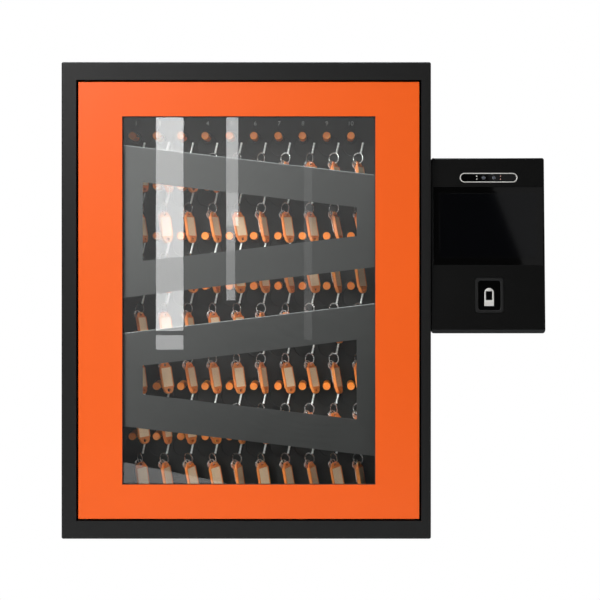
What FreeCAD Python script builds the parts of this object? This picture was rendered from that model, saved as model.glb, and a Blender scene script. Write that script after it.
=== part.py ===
"""Electronic key cabinet: a wall-hung steel body, a hinged glazed door, seventy key fobs that
plug into receptors, and a touch-screen terminal on the right side.

Frame: +Z up, +X to the right, the front faces -Y. The origin is the centre of the four wall
holes, on the back face, so a distance out from the wall is a distance along -Y.
"""
import FreeCAD, Part
import math
import os
from types import SimpleNamespace

import Sketcher
from FreeCAD import Placement, Rotation, Vector

DIMENSIONS = {
    # body and its front frame
    "body_width": 592, "body_height": 764, "body_depth": 200,
    "sheet_gauge": 1.5, "body_edge_radius": 3,
    "frame_left": 24, "frame_right": 15.6, "frame_ends": 29,
    "rear_flange": 15, "stop_flange": 14, "stop_setback": 28,
    # door, its hinge and its window
    "door_gap": 3, "door_depth": 18, "door_inset": 1, "door_edge_radius": 1.4,
    "hinge_inset": 10, "hinge_setback": 7.5, "pin_radius": 2.5, "bush_radius": 4,
    "border_sides": 70.4, "border_ends": 55, "glass_gauge": 5, "glass_lap": 13,
    "gasket_gauge": 1, "gasket_lip": 1.2, "lining_gauge": 1.2, "lining_setback": 5.4,
    "film_gauge": 0.3, "film_margin_left": 32, "film_margin_right": 30,
    "retainer_width": 20, "rib_width": 9, "seal_width": 11, "seal_hinge_gap": 12,
    # wall fixing and cable entry
    "wall_spacing_across": 440, "wall_spacing_up": 600, "wall_hole_radius": 5,
    "cable_entry_across": 200, "cable_entry_out": 40, "cable_radius": 8,
    "grommet_neck": 11.9, "grommet_lip": 3, "grommet_flange": 2,
    # key grid
    "panel_out": 82, "panel_half_width": 281, "panel_half_height": 365, "panel_return": 12,
    "pillar_radius": 6, "pillar_inset_across": 11, "pillar_inset_up": 15,
    "grid_left": -198.5, "grid_top": 273.3, "pitch_across": 40.9, "pitch_down": 84.3,
    "bezel_radius": 10, "bezel_height": 3, "shank_radius": 4, "shank_length": 24,
    "head_radius": 6.5, "head_length": 35, "eye_out": 28, "eye_drop": 1.55, "eye_radius": 2.6,
    # what hangs from each fob
    "cable_loop_radius": 17.5, "cable_loop_wire": 0.9, "cable_loop_shift": 3.5,
    "ferrule_radius": 1.9, "ring_radius": 9, "ring_wire": 0.9,
    "ring_shift": 11, "ring_drop": 38.5,
    "tag_width": 21, "tag_length": 53, "tag_gauge": 5.5, "tag_hole_radius": 2.5,
    "tag_hole_inset": 4, "tag_lug_gauge": 2.4,
    "key_length": 40, "key_bow_radius": 8, "key_blade_width": 7, "key_gauge": 2,
    "key_hole_radius": 3.6, "key_bow_drop": 3.2,
    # lock
    "lock_across": 260, "lock_level": -110, "lock_half_height": 38, "lock_depth": 23.5,
    "bolt_out": 162, "bolt_depth": 7, "bolt_half_height": 5, "bolt_reach": 10.5,
    "bolt_length": 25.5, "bolt_ramp": 4.5, "bolt_gap": 0.3, "keeper_gap": 1,
    "keeper_gauge": 2.2, "keeper_foot": 16, "keeper_half_height": 20,
    # terminal
    "terminal_gap": 2, "terminal_width": 182, "terminal_height": 283,
    "terminal_level": 88.2, "terminal_face_out": 189, "terminal_tilt": 2.45,
    "terminal_back_out": 125, "cover_depth": 14, "cover_wall": 2.5, "cover_front": 4,
    "terminal_fixing_out": 25, "terminal_fixing_across": 18, "terminal_fixing_up": 90,
    # screws, the holes they pass through and the bores they are driven into
    "screw_radius": 2, "screw_hole_radius": 2.1, "screw_bore_radius": 2.05,
}
COLUMNS = 10
ROWS = 7

doc = FreeCAD.newDocument("KeyCabinet")
sheet = doc.addObject("Spreadsheet::Sheet", "Dims")
for number, (alias, length) in enumerate(DIMENSIONS.items(), 1):
    sheet.set(f"A{number}", alias)
    sheet.set(f"B{number}", str(length))
    sheet.setAlias(f"B{number}", alias)
doc.recompute()


class Size:
    """A length worked out from the sheet: its number, and the expression that binds it."""

    def __init__(self, number, text=None):
        self.number = float(number)
        self.text = text or f"({self.number:.6f})"

    def join(self, sign, other, number):
        return Size(number, f"({self.text} {sign} {as_size(other).text})")

    def __add__(self, other):
        return self.join("+", other, self.number + as_size(other).number)

    def __sub__(self, other):
        return self.join("-", other, self.number - as_size(other).number)

    def __mul__(self, other):
        return self.join("*", other, self.number * as_size(other).number)

    def __truediv__(self, other):
        return self.join("/", other, self.number / as_size(other).number)

    def __neg__(self):
        return Size(0) - self

    def __radd__(self, other):
        return as_size(other) + self

    def __rsub__(self, other):
        return as_size(other) - self

    __rmul__ = __mul__


def as_size(value):
    return value if isinstance(value, Size) else Size(value)


d = SimpleNamespace(**{a: Size(sheet.get(a), f"Dims.{a}") for a in DIMENSIONS})
sub_parts = []


# ---------------------------------------------------------------- modelling helpers

def bind(thing, **lengths):
    for name, length in lengths.items():
        thing.setExpression(name.replace("_dot_", "."), as_size(length).text)


def keep(thing, label):
    """Marks an object as one of the sub-parts that are written out."""
    thing.Label = label
    sub_parts.append(thing)
    return thing


def new_body(label):
    return doc.addObject("PartDesign::Body", label)


def new_sketch(body, name, offset, role="XZ_Plane"):
    """A sketch facing the front (or +X, or +Z), at a distance out along its normal."""
    sketch = body.newObject("Sketcher::SketchObject", name)
    plane = next(f for f in body.Origin.OriginFeatures if f.Role == role)
    sketch.AttachmentSupport = (plane, [""])
    sketch.MapMode = "FlatFace"
    bind(sketch, AttachmentOffset_dot_Base_dot_z=offset)
    return sketch


def fix(sketch, kind, *place, length):
    """Adds one dimension to a sketch and binds it to the sheet."""
    length = as_size(length)
    index = sketch.addConstraint(Sketcher.Constraint(kind, *place, length.number))
    sketch.setExpression(f"Constraints[{index}]", length.text)


def draw_outline(sketch, corners):
    """A closed outline with straight sides; each corner is placed from the sketch's origin."""
    first = sketch.GeometryCount
    corners = [(as_size(across), as_size(up)) for across, up in corners]
    points = [Vector(across.number, up.number, 0) for across, up in corners]
    count = len(points)
    sides = [Part.LineSegment(points[i], points[(i + 1) % count]) for i in range(count)]
    sketch.addGeometry(sides, False)
    for i, (across, up) in enumerate(corners):
        joined = Sketcher.Constraint("Coincident", first + i, 2, first + (i + 1) % count, 1)
        sketch.addConstraint(joined)
        fix(sketch, "DistanceX", -1, 1, first + i, 1, length=across)
        fix(sketch, "DistanceY", -1, 1, first + i, 1, length=up)


def draw_rectangle(sketch, across, up):
    (left, right), (low, high) = across, up
    draw_outline(sketch, [(left, low), (right, low), (right, high), (left, high)])


def draw_circle(sketch, across, up, radius):
    across, up, radius = as_size(across), as_size(up), as_size(radius)
    circle = Part.Circle(Vector(across.number, up.number, 0), Vector(0, 0, 1), radius.number)
    index = sketch.addGeometry(circle, False)
    fix(sketch, "DistanceX", -1, 1, index, 3, length=across)
    fix(sketch, "DistanceY", -1, 1, index, 3, length=up)
    fix(sketch, "Radius", index, length=radius)


def draw(sketch, shapes):
    for draw_shape, *sizes in shapes:
        draw_shape(sketch, *sizes)


def rectangle(across, up):
    return (draw_rectangle, across, up)


def circle(across, up, radius):
    return (draw_circle, across, up, radius)


def outline(corners):
    return (draw_outline, corners)


def pad(body, name, out, *shapes, role="XZ_Plane"):
    """Adds material from out[0] to out[1] along the sketch's normal."""
    back, front = as_size(out[0]), as_size(out[1])
    sketch = new_sketch(body, name + "_sketch", back, role)
    draw(sketch, shapes)
    feature = body.newObject("PartDesign::Pad", name)
    feature.Profile = sketch
    bind(feature, Length=front - back)
    return feature


def pocket(body, name, out, *shapes, role="XZ_Plane"):
    """Cuts from out[1] back to out[0], against the sketch's normal, and checks that it cut."""
    back, front = as_size(out[0]), as_size(out[1])
    doc.recompute()
    before = body.Shape.Volume
    sketch = new_sketch(body, name + "_sketch", front, role)
    draw(sketch, shapes)
    feature = body.newObject("PartDesign::Pocket", name)
    feature.Profile = sketch
    bind(feature, Length=front - back)
    doc.recompute()
    if not body.Shape.Volume < before:
        raise ValueError(f"{body.Label}: {name} cuts nothing")
    return feature


def pattern(body, name, feature, across, down):
    """Repeats a feature over a grid; across and down are (pitch, count)."""
    grid = body.newObject("PartDesign::LinearPattern", name)
    grid.Originals = [feature]
    grid.Direction = (feature.Profile[0], ["H_Axis"])
    bind(grid, Length=across[0] * (across[1] - 1))
    grid.Occurrences = across[1]
    if down:
        grid.Direction2 = (feature.Profile[0], ["V_Axis"])
        grid.Reversed2 = True
        bind(grid, Length2=down[0] * (down[1] - 1))
        grid.Occurrences2 = down[1]
    body.Tip = grid
    return grid


def dress(body, kind, name, radius, chosen):
    """A fillet or chamfer on the tip's edges whose ends pass the test."""
    doc.recompute()
    tip = body.Tip
    names = [
        f"Edge{i}"
        for i, edge in enumerate(tip.Shape.Edges, 1)
        if chosen([v.Point for v in edge.Vertexes])
    ]
    feature = body.newObject(f"PartDesign::{kind}", name)
    feature.Base = (tip, names)
    bind(feature, **{"Radius" if kind == "Fillet" else "Size": radius})
    return feature


def near(a, b):
    return abs(a - as_size(b).number) < 1e-4


def runs_out(*corners):
    """Edges that run along Y at the given (x, z) corners."""

    def test(points):
        first, last = points[0], points[-1]
        along = near(first.x, last.x) and near(first.z, last.z) and not near(first.y, last.y)
        return along and any(near(first.x, x) and near(first.z, z) for x, z in corners)

    return test


def corners_of(across, up):
    return [(x, z) for x in across for z in up]


def on_plane(axis, value):
    """Edges that lie in the plane where x, y or z has the given value."""

    def test(points):
        return all(near(getattr(point, axis), value) for point in points)

    return test


def plate(label, across, up, out, *shapes):
    body = new_body(label)
    pad(body, "blank", out, rectangle(across, up), *shapes)
    return body


def place(body, across=0, out=0, up=0):
    bind(
        body,
        Placement_dot_Base_dot_x=across,
        Placement_dot_Base_dot_y=-as_size(out),
        Placement_dot_Base_dot_z=up,
    )
    return body


def cylinder(name, radius, length, at, axis):
    """A Part cylinder from a point (x, y, z) along an axis."""
    rod = doc.addObject("Part::Cylinder", name)
    rod.Placement = Placement(Vector(), Rotation(Vector(0, 0, 1), axis))
    bind(rod, Radius=radius, Height=length)
    names = ("Placement_dot_Base_dot_x", "Placement_dot_Base_dot_y", "Placement_dot_Base_dot_z")
    bind(rod, **dict(zip(names, at)))
    return rod


def block(name, across, out, up):
    """A Part box between three pairs of sizes."""
    thing = doc.addObject("Part::Box", name)
    bind(
        thing,
        Length=as_size(across[1]) - across[0],
        Width=as_size(out[1]) - out[0],
        Height=as_size(up[1]) - up[0],
    )
    return place(thing, across[0], out[1], up[0])


def cut(name, base, tool):
    thing = doc.addObject("Part::Cut", name)
    thing.Base, thing.Tool = base, tool
    return thing


def common(name, base, tool):
    thing = doc.addObject("Part::Common", name)
    thing.Base, thing.Tool = base, tool
    return thing


def fuse(name, pieces):
    thing = doc.addObject("Part::MultiFuse", name)
    thing.Shapes = pieces
    return thing


def compound(name, pieces):
    thing = doc.addObject("Part::Compound", name)
    thing.Links = pieces
    return thing


def group(label, pieces):
    return keep(compound(label, pieces), label)


def copies(label, shapes):
    """One sub-part holding separate solids made by Part functions."""
    thing = doc.addObject("Part::Feature", label)
    thing.Shape = Part.makeCompound(shapes)
    thing.Placement = Placement()
    return keep(thing, label)


def moved(shape, placement):
    copy = shape.copy()
    copy.Placement = placement.multiply(copy.Placement)
    return copy


# ---------------------------------------------------------------- main planes and edges

half_width = d.body_width / 2
half_height = d.body_height / 2
inner = half_width - d.sheet_gauge
inner_up = half_height - d.sheet_gauge
opening = (d.frame_left - half_width, half_width - d.frame_right)
opening_up = (d.frame_ends - half_height, half_height - d.frame_ends)
door = (opening[0] + d.door_gap, opening[1] - d.door_gap)
door_up = (opening_up[0] + d.door_gap, opening_up[1] - d.door_gap)
door_front = d.body_depth - d.door_inset
door_back = door_front - d.door_depth
window = (door[0] + d.border_sides, door[1] - d.border_sides)
window_up = (door_up[0] + d.border_ends, door_up[1] - d.border_ends)
skin_back = door_front - d.sheet_gauge
glass_front = skin_back - d.gasket_gauge
glass_back = glass_front - d.glass_gauge
hinge_across = door[0] + d.hinge_inset
hinge_out = door_front - d.hinge_setback
flange_back = d.body_depth - d.stop_setback
flange_front = flange_back + d.sheet_gauge
inside_back = d.sheet_gauge * 2
panel_back = d.panel_out - d.sheet_gauge
rail_back = d.panel_out - d.shank_length - 4
keeper_back = door_back - d.keeper_gauge
clamp_back = glass_back - d.sheet_gauge
fixing_out = d.terminal_back_out + d.terminal_fixing_out
grid_across = [d.grid_left + d.pitch_across * i for i in range(COLUMNS)]
grid_up = [d.grid_top - d.pitch_down * i for i in range(ROWS)]


def grown(pair, by):
    return (pair[0] - by, pair[1] + by)


def about(middle, length):
    return (middle - length / 2, middle + length / 2)


# ---------------------------------------------------------------- steel body

def make_carcass():
    body = new_body("folded_box")
    across, up = (-half_width, half_width), (-half_height, half_height)
    pad(body, "envelope", (0, d.body_depth), rectangle(across, up))
    dress(body, "Fillet", "long_corners", d.body_edge_radius, runs_out(*corners_of(across, up)))
    dress(body, "Fillet", "front_edges", d.body_edge_radius, on_plane("y", -d.body_depth))
    front_back = d.body_depth - d.sheet_gauge
    pocket(body, "cavity", (0, front_back), rectangle((-inner, inner), (-inner_up, inner_up)))
    pocket(body, "door_opening", (front_back - 1, d.body_depth + 1),
           rectangle(opening, opening_up))
    pad(body, "rear_flange", (d.sheet_gauge, inside_back),
        rectangle((-inner, inner), (-inner_up, inner_up)),
        rectangle(grown((-inner, inner), -d.rear_flange),
                  grown((-inner_up, inner_up), -d.rear_flange)))
    pocket(body, "terminal_holes", (inner - 1, half_width + 1), *[
        circle(-out, up, d.screw_hole_radius) for out, up in terminal_screw_places()
    ], circle(-fixing_out, d.terminal_level, 10), role="YZ_Plane")
    pocket(body, "cable_hole", (-(half_height + 1), 1 - inner_up),
           circle(d.cable_entry_across, -d.cable_entry_out, d.grommet_neck + 0.1),
           role="XY_Plane")
    folded_sides("carcass", body, (across, up), (opening, opening_up),
                 [0, inside_back, front_back, d.body_depth])


def folded_sides(label, whole, outer, inner, folds):
    """Keeps a folded frame as its flat strips, parted at the mitred corners and at the folds.
    outer and inner are the frame's outlines, (across, up), and folds are distances out."""
    corners = [(0, 0), (1, 0), (1, 1), (0, 1)]
    spare = 0.1
    outside, inside = [], []
    for i, j in corners:
        big, small = (outer[0][i], outer[1][j]), (inner[0][i], inner[1][j])
        outside.append(tuple(a + (a - b) * spare for a, b in zip(big, small)))
        inside.append(tuple(b - (a - b) * spare for a, b in zip(big, small)))
    strips = []
    for i, side in enumerate(("bottom", "right", "top", "left")):
        after = (i + 1) % len(corners)
        for level, out in enumerate(zip(folds, folds[1:])):
            name = f"{label}_{side}_{level}"
            share = new_body(f"{name}_share")
            pad(share, "wedge", out,
                outline([outside[i], outside[after], inside[after], inside[i]]))
            strips.append(common(name, whole, share))
    group(label, strips)


def terminal_screw_places():
    """The four terminal screws: (out, up) on the body's right side."""
    return [(fixing_out + side * d.terminal_fixing_across,
             d.terminal_level + end * d.terminal_fixing_up)
            for side in (-1, 1) for end in (-1, 1)]


def pillar_places():
    edge = d.panel_half_width - d.pillar_inset_across
    end = d.panel_half_height - d.pillar_inset_up
    return [(side * edge, level * end) for side in (-1, 1) for level in (-1, 0, 1)]


def make_back_plate():
    holes = [
        circle(side * d.wall_spacing_across / 2, level * d.wall_spacing_up / 2,
               d.wall_hole_radius)
        for side in (-1, 1) for level in (-1, 1)
    ]
    body = plate("back_plate", grown((-inner, inner), -0.5), grown((-inner_up, inner_up), -0.5),
                 (0, d.sheet_gauge), *holes)
    pad(body, "panel_pillars", (d.sheet_gauge, panel_back),
        *[circle(x, z, d.pillar_radius) for x, z in pillar_places()])
    pad(body, "board_posts", (d.sheet_gauge, BOARD_OUT),
        *[circle(x, z, 3) for x, z in board_corners()])
    pocket(body, "screw_bores", (panel_back - 14, panel_back),
           *[circle(x, z, d.screw_bore_radius) for x, z in pillar_places()])
    keep(body, "back_plate")


def make_door_jamb():
    body = new_body("folded_jamb")
    outer = (grown(opening, d.sheet_gauge), grown(opening_up, d.sheet_gauge))
    stop = (grown(opening, -d.stop_flange), grown(opening_up, -d.stop_flange))
    jamb_front = d.body_depth - d.sheet_gauge
    pad(body, "wall", (flange_front, jamb_front), rectangle(*outer),
        rectangle(opening, opening_up))
    pad(body, "stop_flange", (flange_back, flange_front), rectangle(*outer), rectangle(*stop))
    pocket(body, "pin_holes", (-half_height, half_height),
           circle(hinge_across, -hinge_out, d.pin_radius + 0.1), role="XY_Plane")
    folded_sides("door_jamb", body, outer, stop, [flange_back, flange_front, jamb_front])


def make_door_seal():
    """Foam strips on the stop flange; the hinge side is thinner, where the door dips as it turns."""
    edge, edge_up = grown(opening, -1), grown(opening_up, -1)
    width = d.seal_width
    full, thin = (flange_front, door_back - 0.3), (flange_front, flange_front + 2.8)
    between = (hinge_across + d.seal_hinge_gap, edge[1] - width)
    group("door_seal", [
        block("seal_hinge_side", (edge[0], edge[0] + width), thin, edge_up),
        block("seal_lock_side", (edge[1] - width, edge[1]), full, edge_up),
        block("seal_top", between, full, (edge_up[1] - width, edge_up[1])),
        block("seal_bottom", between, full, (edge_up[0], edge_up[0] + width)),
    ])


def make_hinge():
    """Pins hang in the jamb's top and bottom walls and turn in bushes in the door."""
    pins, bushes = [], []
    for end, side in (("top", 1), ("bottom", -1)):
        axis = Vector(0, 0, side)
        jamb_face = side * (opening_up[1] + d.sheet_gauge)

        def rod(name, radius, start, length):
            return cylinder(f"{name}_{end}", radius, length,
                            (hinge_across, -hinge_out, start), axis)

        shaft = rod("pin_shaft", d.pin_radius, jamb_face - side * 16, 17)
        head = rod("pin_head", d.pin_radius + 2, jamb_face + side * 0.1, 3)
        pins.append(fuse(f"pin_{end}", [shaft, head]))
        door_face = side * door_up[1]
        barrel = rod("bush_barrel", d.bush_radius, door_face - side * 13, 13.4)
        collar = rod("bush_collar", d.bush_radius + 1.4,
                     door_face - side * (d.sheet_gauge + 3), 2.95)
        bore = rod("bush_bore", d.pin_radius + 0.06, door_face - side * 14, 16)
        bushes.append(cut(f"bush_{end}", fuse(f"bush_blank_{end}", [barrel, collar]), bore))
    group("hinge_pins", pins)
    group("hinge_bushes", bushes)


def make_cable_grommet():
    """A rubber grommet in the bottom wall, where the power lead goes in."""
    at = (d.cable_entry_across, -d.cable_entry_out)
    up = Vector(0, 0, 1)
    flange_radius = d.grommet_neck + d.grommet_lip
    low = -(half_height + d.grommet_flange)
    below = cylinder("grommet_below", flange_radius, d.grommet_flange, (*at, low), up)
    neck = cylinder("grommet_waist", d.grommet_neck, d.sheet_gauge, (*at, -half_height), up)
    above = cylinder("grommet_above", flange_radius, d.grommet_flange, (*at, -inner_up), up)
    bore = cylinder("grommet_bore", d.cable_radius, d.sheet_gauge + d.grommet_flange * 2,
                    (*at, low), up)
    keep(cut("cable_grommet", fuse("grommet_blank", [below, neck, above]), bore),
         "cable_grommet")


# ---------------------------------------------------------------- what is behind the key panel

def make_key_panel():
    across, up = about(0, d.panel_half_width * 2), about(0, d.panel_half_height * 2)
    body = new_body("key_panel")
    pad(body, "face", (panel_back, d.panel_out), rectangle(across, up))
    pad(body, "returns", (panel_back - d.panel_return, panel_back), rectangle(across, up),
        rectangle(grown(across, -d.sheet_gauge), grown(up, -d.sheet_gauge)))
    pocket(body, "screw_holes", (panel_back, d.panel_out),
           *[circle(x, z, d.screw_hole_radius) for x, z in pillar_places()])
    first = pocket(body, "receptor_hole", (panel_back, d.panel_out),
                   circle(grid_across[0], grid_up[0], d.shank_radius + 0.4))
    pattern(body, "receptor_holes", first, (d.pitch_across, COLUMNS), (d.pitch_down, ROWS))
    keep(body, "key_panel")


def make_receptors():
    """Seventy bezels in front of the panel, and seven reader rails behind it."""
    bezel = new_body("bezel")
    pad(bezel, "ring", (0, d.bezel_height), circle(0, 0, d.bezel_radius),
        circle(0, 0, d.shank_radius + 0.3))
    dress(bezel, "Chamfer", "front_chamfer", 1, on_plane("y", -d.bezel_height))
    rail = new_body("rail")
    last = d.pitch_across * (COLUMNS - 1)
    pad(rail, "housing", (0, panel_back - rail_back), rectangle((-16, last + 16), (-14, 14)))
    first = pocket(rail, "socket", (2, panel_back - rail_back),
                   circle(0, 0, d.shank_radius + 0.3))
    pattern(rail, "sockets", first, (d.pitch_across, COLUMNS), None)
    doc.recompute()
    copies("receptor_bezels", [
        moved(bezel.Shape, Placement(grid_point(column, row, d.panel_out), Rotation()))
        for row in range(ROWS) for column in range(COLUMNS)
    ])
    copies("receptor_rails", [
        moved(rail.Shape, Placement(grid_point(0, row, rail_back), Rotation()))
        for row in range(ROWS)
    ])


def grid_point(column, row, out):
    return Vector(grid_across[column].number, -out.number, grid_up[row].number)


BOARD_OUT = 20
BOARD_GAUGE = 1.6


def board_corners():
    return [(x, z) for x in (96, 244) for z in (-124, -4)]


def make_controller_board():
    face = BOARD_OUT + BOARD_GAUGE
    body = plate("controller_board", (90, 250), (-130, 2), (BOARD_OUT, face),
                 *[circle(x, z, 1.6) for x, z in board_corners()])
    pad(body, "processor", (face, face + 2.6), rectangle((150, 178), (-60, -32)))
    pad(body, "relays", (face, face + 15.4),
        *[rectangle((left, left + 16), (-118, -98)) for left in (112, 132, 152, 172)])
    pad(body, "wire_terminals", (face, face + 10), rectangle((112, 232), (-13, -4)))
    pad(body, "capacitors", (face, face + 19.4), *[circle(x, -82, 6) for x in (206, 222)])
    keep(body, "controller_board")


def make_power_supply():
    across, up, out = (-240, -81), (-372, -275), (inside_back, inside_back + 38)
    body = plate("power_supply", across, up, out)
    slot = pocket(body, "vent_slot", (out[1] - 1.2, out[1] + 1),
                  rectangle((across[0] + 14, across[0] + 20), (up[1] - 26, up[1] - 10)))
    pattern(body, "vent_slots", slot, (as_size(13), 10), (as_size(24), 3))
    pocket(body, "wiring_bay", (out[1] - 22, out[1] + 1),
           rectangle((across[0] + 10, across[1] - 10), (up[0] - 1, up[0] + 16)))
    keep(body, "power_supply")


def make_backup_battery():
    low = -inner_up
    body = plate("backup_battery", (20, 171), (low, low + 94), (inside_back, inside_back + 65))
    pad(body, "lid_rim", (inside_back + 3, inside_back + 61),
        rectangle((24, 167), (low + 94, low + 97)))
    pad(body, "tabs", (24, 24.8), rectangle((30, 35), (low + 97, low + 103)),
        rectangle((156, 161), (low + 97, low + 103)))
    keep(body, "backup_battery")


# ---------------------------------------------------------------- lock

def lock_side(half_length, gap=0):
    """A rectangle seen from the side, about the bolt: (-Y, Z) pairs."""
    back, front = d.bolt_out - gap, d.bolt_out + d.bolt_depth + gap
    return rectangle((-front, -back), about(d.lock_level, (half_length + gap) * 2))


def make_lock():
    body = new_body("lock_body")
    case_front = flange_back - 0.5
    pad(body, "case", (case_front - d.lock_depth, case_front),
        rectangle((d.lock_across, inner), about(d.lock_level, d.lock_half_height * 2)))
    pocket(body, "bolt_way", (d.lock_across - 1, d.lock_across + 28),
           lock_side(d.bolt_half_height, d.bolt_gap), role="YZ_Plane")
    keep(body, "lock_body")

    nose = d.lock_across - d.bolt_reach
    bolt = new_body("latch_bolt")
    bolt_front = d.bolt_out + d.bolt_depth
    pad(bolt, "bar", (d.bolt_out, bolt_front),
        rectangle((nose, nose + d.bolt_length), about(d.lock_level, d.bolt_half_height * 2)))

    def nose_front(points):
        return all(near(p.x, nose) and near(p.y, -bolt_front) for p in points)

    dress(bolt, "Chamfer", "closing_ramp", d.bolt_ramp, nose_front)
    keep(bolt, "latch_bolt")

    keeper = new_body("lock_keeper")
    tongue = (d.lock_across - 2 - d.keeper_gauge, d.lock_across - 2)
    pad(keeper, "foot", (keeper_back, door_back),
        rectangle((tongue[0] - d.keeper_foot, tongue[1]),
                  about(d.lock_level, d.keeper_half_height * 2)),
        *[circle(x, z, d.screw_hole_radius) for x, z in keeper_screw_places()])
    pad(keeper, "tongue", (d.bolt_out - 6, keeper_back),
        rectangle(tongue, about(d.lock_level, 24)))
    pocket(keeper, "bolt_hole", (tongue[0] - 1, tongue[1] + 1),
           lock_side(d.bolt_half_height, d.keeper_gap), role="YZ_Plane")
    keep(keeper, "lock_keeper")


def keeper_screw_places():
    return [(d.lock_across - 12.2, d.lock_level + side * 13) for side in (-1, 1)]


# ---------------------------------------------------------------- door

def make_door():
    skin = new_body("door_skin")
    pad(skin, "pan", (door_back, door_front), rectangle(door, door_up))
    dress(skin, "Fillet", "front_edges", d.door_edge_radius, on_plane("y", -door_front))
    pocket(skin, "pan_inside", (door_back, skin_back),
           rectangle(grown(door, -d.sheet_gauge), grown(door_up, -d.sheet_gauge)))
    pocket(skin, "window", (skin_back - 1, door_front + 1), rectangle(window, window_up))
    pocket(skin, "bush_holes", (-half_height, half_height),
           circle(hinge_across, -hinge_out, d.bush_radius + 0.05), role="XY_Plane")
    keep(skin, "door_skin")

    glazed, glazed_up = grown(window, d.glass_lap), grown(window_up, d.glass_lap)
    keep(plate("glass_gasket", glazed, glazed_up, (glass_front, skin_back),
               rectangle(grown(window, -d.gasket_lip), grown(window_up, -d.gasket_lip))),
         "glass_gasket")
    keep(plate("window_glass", glazed, glazed_up, (glass_back, glass_front)), "window_glass")

    frame, frame_up = grown(glazed, d.rib_width + 1), grown(glazed_up, d.rib_width + 1)
    retainer = plate("glass_retainer", frame, frame_up, (clamp_back, glass_back),
                     rectangle(grown(frame, -d.retainer_width),
                               grown(frame_up, -d.retainer_width)))
    pad(retainer, "rib", (glass_back, skin_back), rectangle(frame, frame_up),
        rectangle(grown(frame, -d.rib_width), grown(frame_up, -d.rib_width)))
    places = retainer_screw_places(frame, frame_up)
    pocket(retainer, "screw_holes", (clamp_back, skin_back),
           *[circle(x, z, d.screw_hole_radius) for x, z in places])
    keep(retainer, "glass_retainer")

    clear, clear_up = grown(window, d.lining_setback), grown(window_up, d.lining_setback)
    inset = d.sheet_gauge + 0.4
    edge, edge_up = grown(door, -inset), grown(door_up, -inset)
    sheet_front = door_back + d.lining_gauge
    lining = plate("folded_lining", edge, edge_up, (door_back, sheet_front),
                   rectangle(clear, clear_up))
    pad(lining, "collar", (sheet_front, clamp_back),
        rectangle(grown(clear, d.lining_gauge), grown(clear_up, d.lining_gauge)),
        rectangle(clear, clear_up))
    pocket(lining, "keeper_holes", (door_back, sheet_front),
           *[circle(x, z, d.screw_hole_radius) for x, z in keeper_screw_places()])
    notch, notch_up = (edge[0] - 1, hinge_across + 8), 15
    pocket(lining, "hinge_notches", (door_back, sheet_front),
           rectangle(notch, (edge_up[0] - 1, edge_up[0] + notch_up)),
           rectangle(notch, (edge_up[1] - notch_up, edge_up[1] + 1)))
    folded_sides("door_lining", lining, (edge, edge_up), (clear, clear_up),
                 [door_back, sheet_front, clamp_back])
    return places


def retainer_screw_places(frame, frame_up):
    left, right = frame[0] + d.rib_width / 2, frame[1] - d.rib_width / 2
    low, high = frame_up[0] + d.rib_width / 2, frame_up[1] - d.rib_width / 2
    sides = [(x, low + (high - low) * (i / 5)) for x in (left, right) for i in range(6)]
    ends = [(left + (right - left) * (i / 3), z) for z in (low, high) for i in (1, 2)]
    return sides + ends


def make_privacy_bands():
    """Two slanting bands of dark film on the back of the glass, each with a slanting cut-out;
    the lower one mirrors the upper one from left to right."""
    out = (glass_back - d.film_gauge, glass_back)
    left, right = window
    inner_left, inner_right = left + d.film_margin_left, right - d.film_margin_right
    upper = new_body("upper_band")
    pad(upper, "band", out, outline([(left, 248.8), (left, 4), (right, 53.6), (right, 200.8)]),
        outline([(inner_left, 189.6), (inner_left, 63.2), (inner_right, 103.2),
                 (inner_right, 149.6)]))
    lower = new_body("lower_band")
    pad(lower, "band", out,
        outline([(left, -53.6), (left, -202.4), (right, -250.4), (right, -5.6)]),
        outline([(inner_left, -104.8), (inner_left, -151.2), (inner_right, -191.2),
                 (inner_right, -63.2)]))
    group("privacy_bands", [upper, lower])


# ---------------------------------------------------------------- screws

def screw_shape(length):
    """A pan-head screw, head towards -Y, with the underside of its head at the origin."""
    radius = d.screw_radius.number
    away, back = Vector(0, -1, 0), Vector(0, 1, 0)
    head = Part.makeCylinder(radius * 2, radius * 1.2, Vector(), away)
    head = head.makeFillet(radius * 0.45, [head.Edges[0]])
    if head.BoundBox.YMin > -radius:
        raise ValueError("the screw head faces the wrong way")
    socket = Part.makeCylinder(radius * 0.8, radius * 0.6, Vector(0, -radius * 1.2, 0), back)
    return head.fuse(Part.makeCylinder(radius, length, Vector(), back)).cut(socket)


def make_screws(retainer_places):
    def at(x, out, z, turn=None):
        x, out, z = (as_size(value).number for value in (x, out, z))
        return Placement(Vector(x, -out, z), turn or Rotation())

    panel_screw = screw_shape(13)
    side_screw = screw_shape(6)
    inwards = Rotation(Vector(0, 0, 1), -90)
    copies("cabinet_screws", [
        *[moved(panel_screw, at(x, d.panel_out, z)) for x, z in pillar_places()],
        *[moved(side_screw, at(inner, out, up, inwards)) for out, up in terminal_screw_places()],
    ])
    # the heads of the door's screws are on its inside, so they face the wall
    turned = Rotation(Vector(0, 0, 1), 180)
    rim_screw = screw_shape(7.3)
    keeper_screw = screw_shape(6)
    copies("door_screws", [
        *[moved(rim_screw, at(x, clamp_back, z, turned)) for x, z in retainer_places],
        *[moved(keeper_screw, at(x, keeper_back, z, turned)) for x, z in keeper_screw_places()],
    ])


# ---------------------------------------------------------------- fobs, seals, rings, tags, keys

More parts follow.
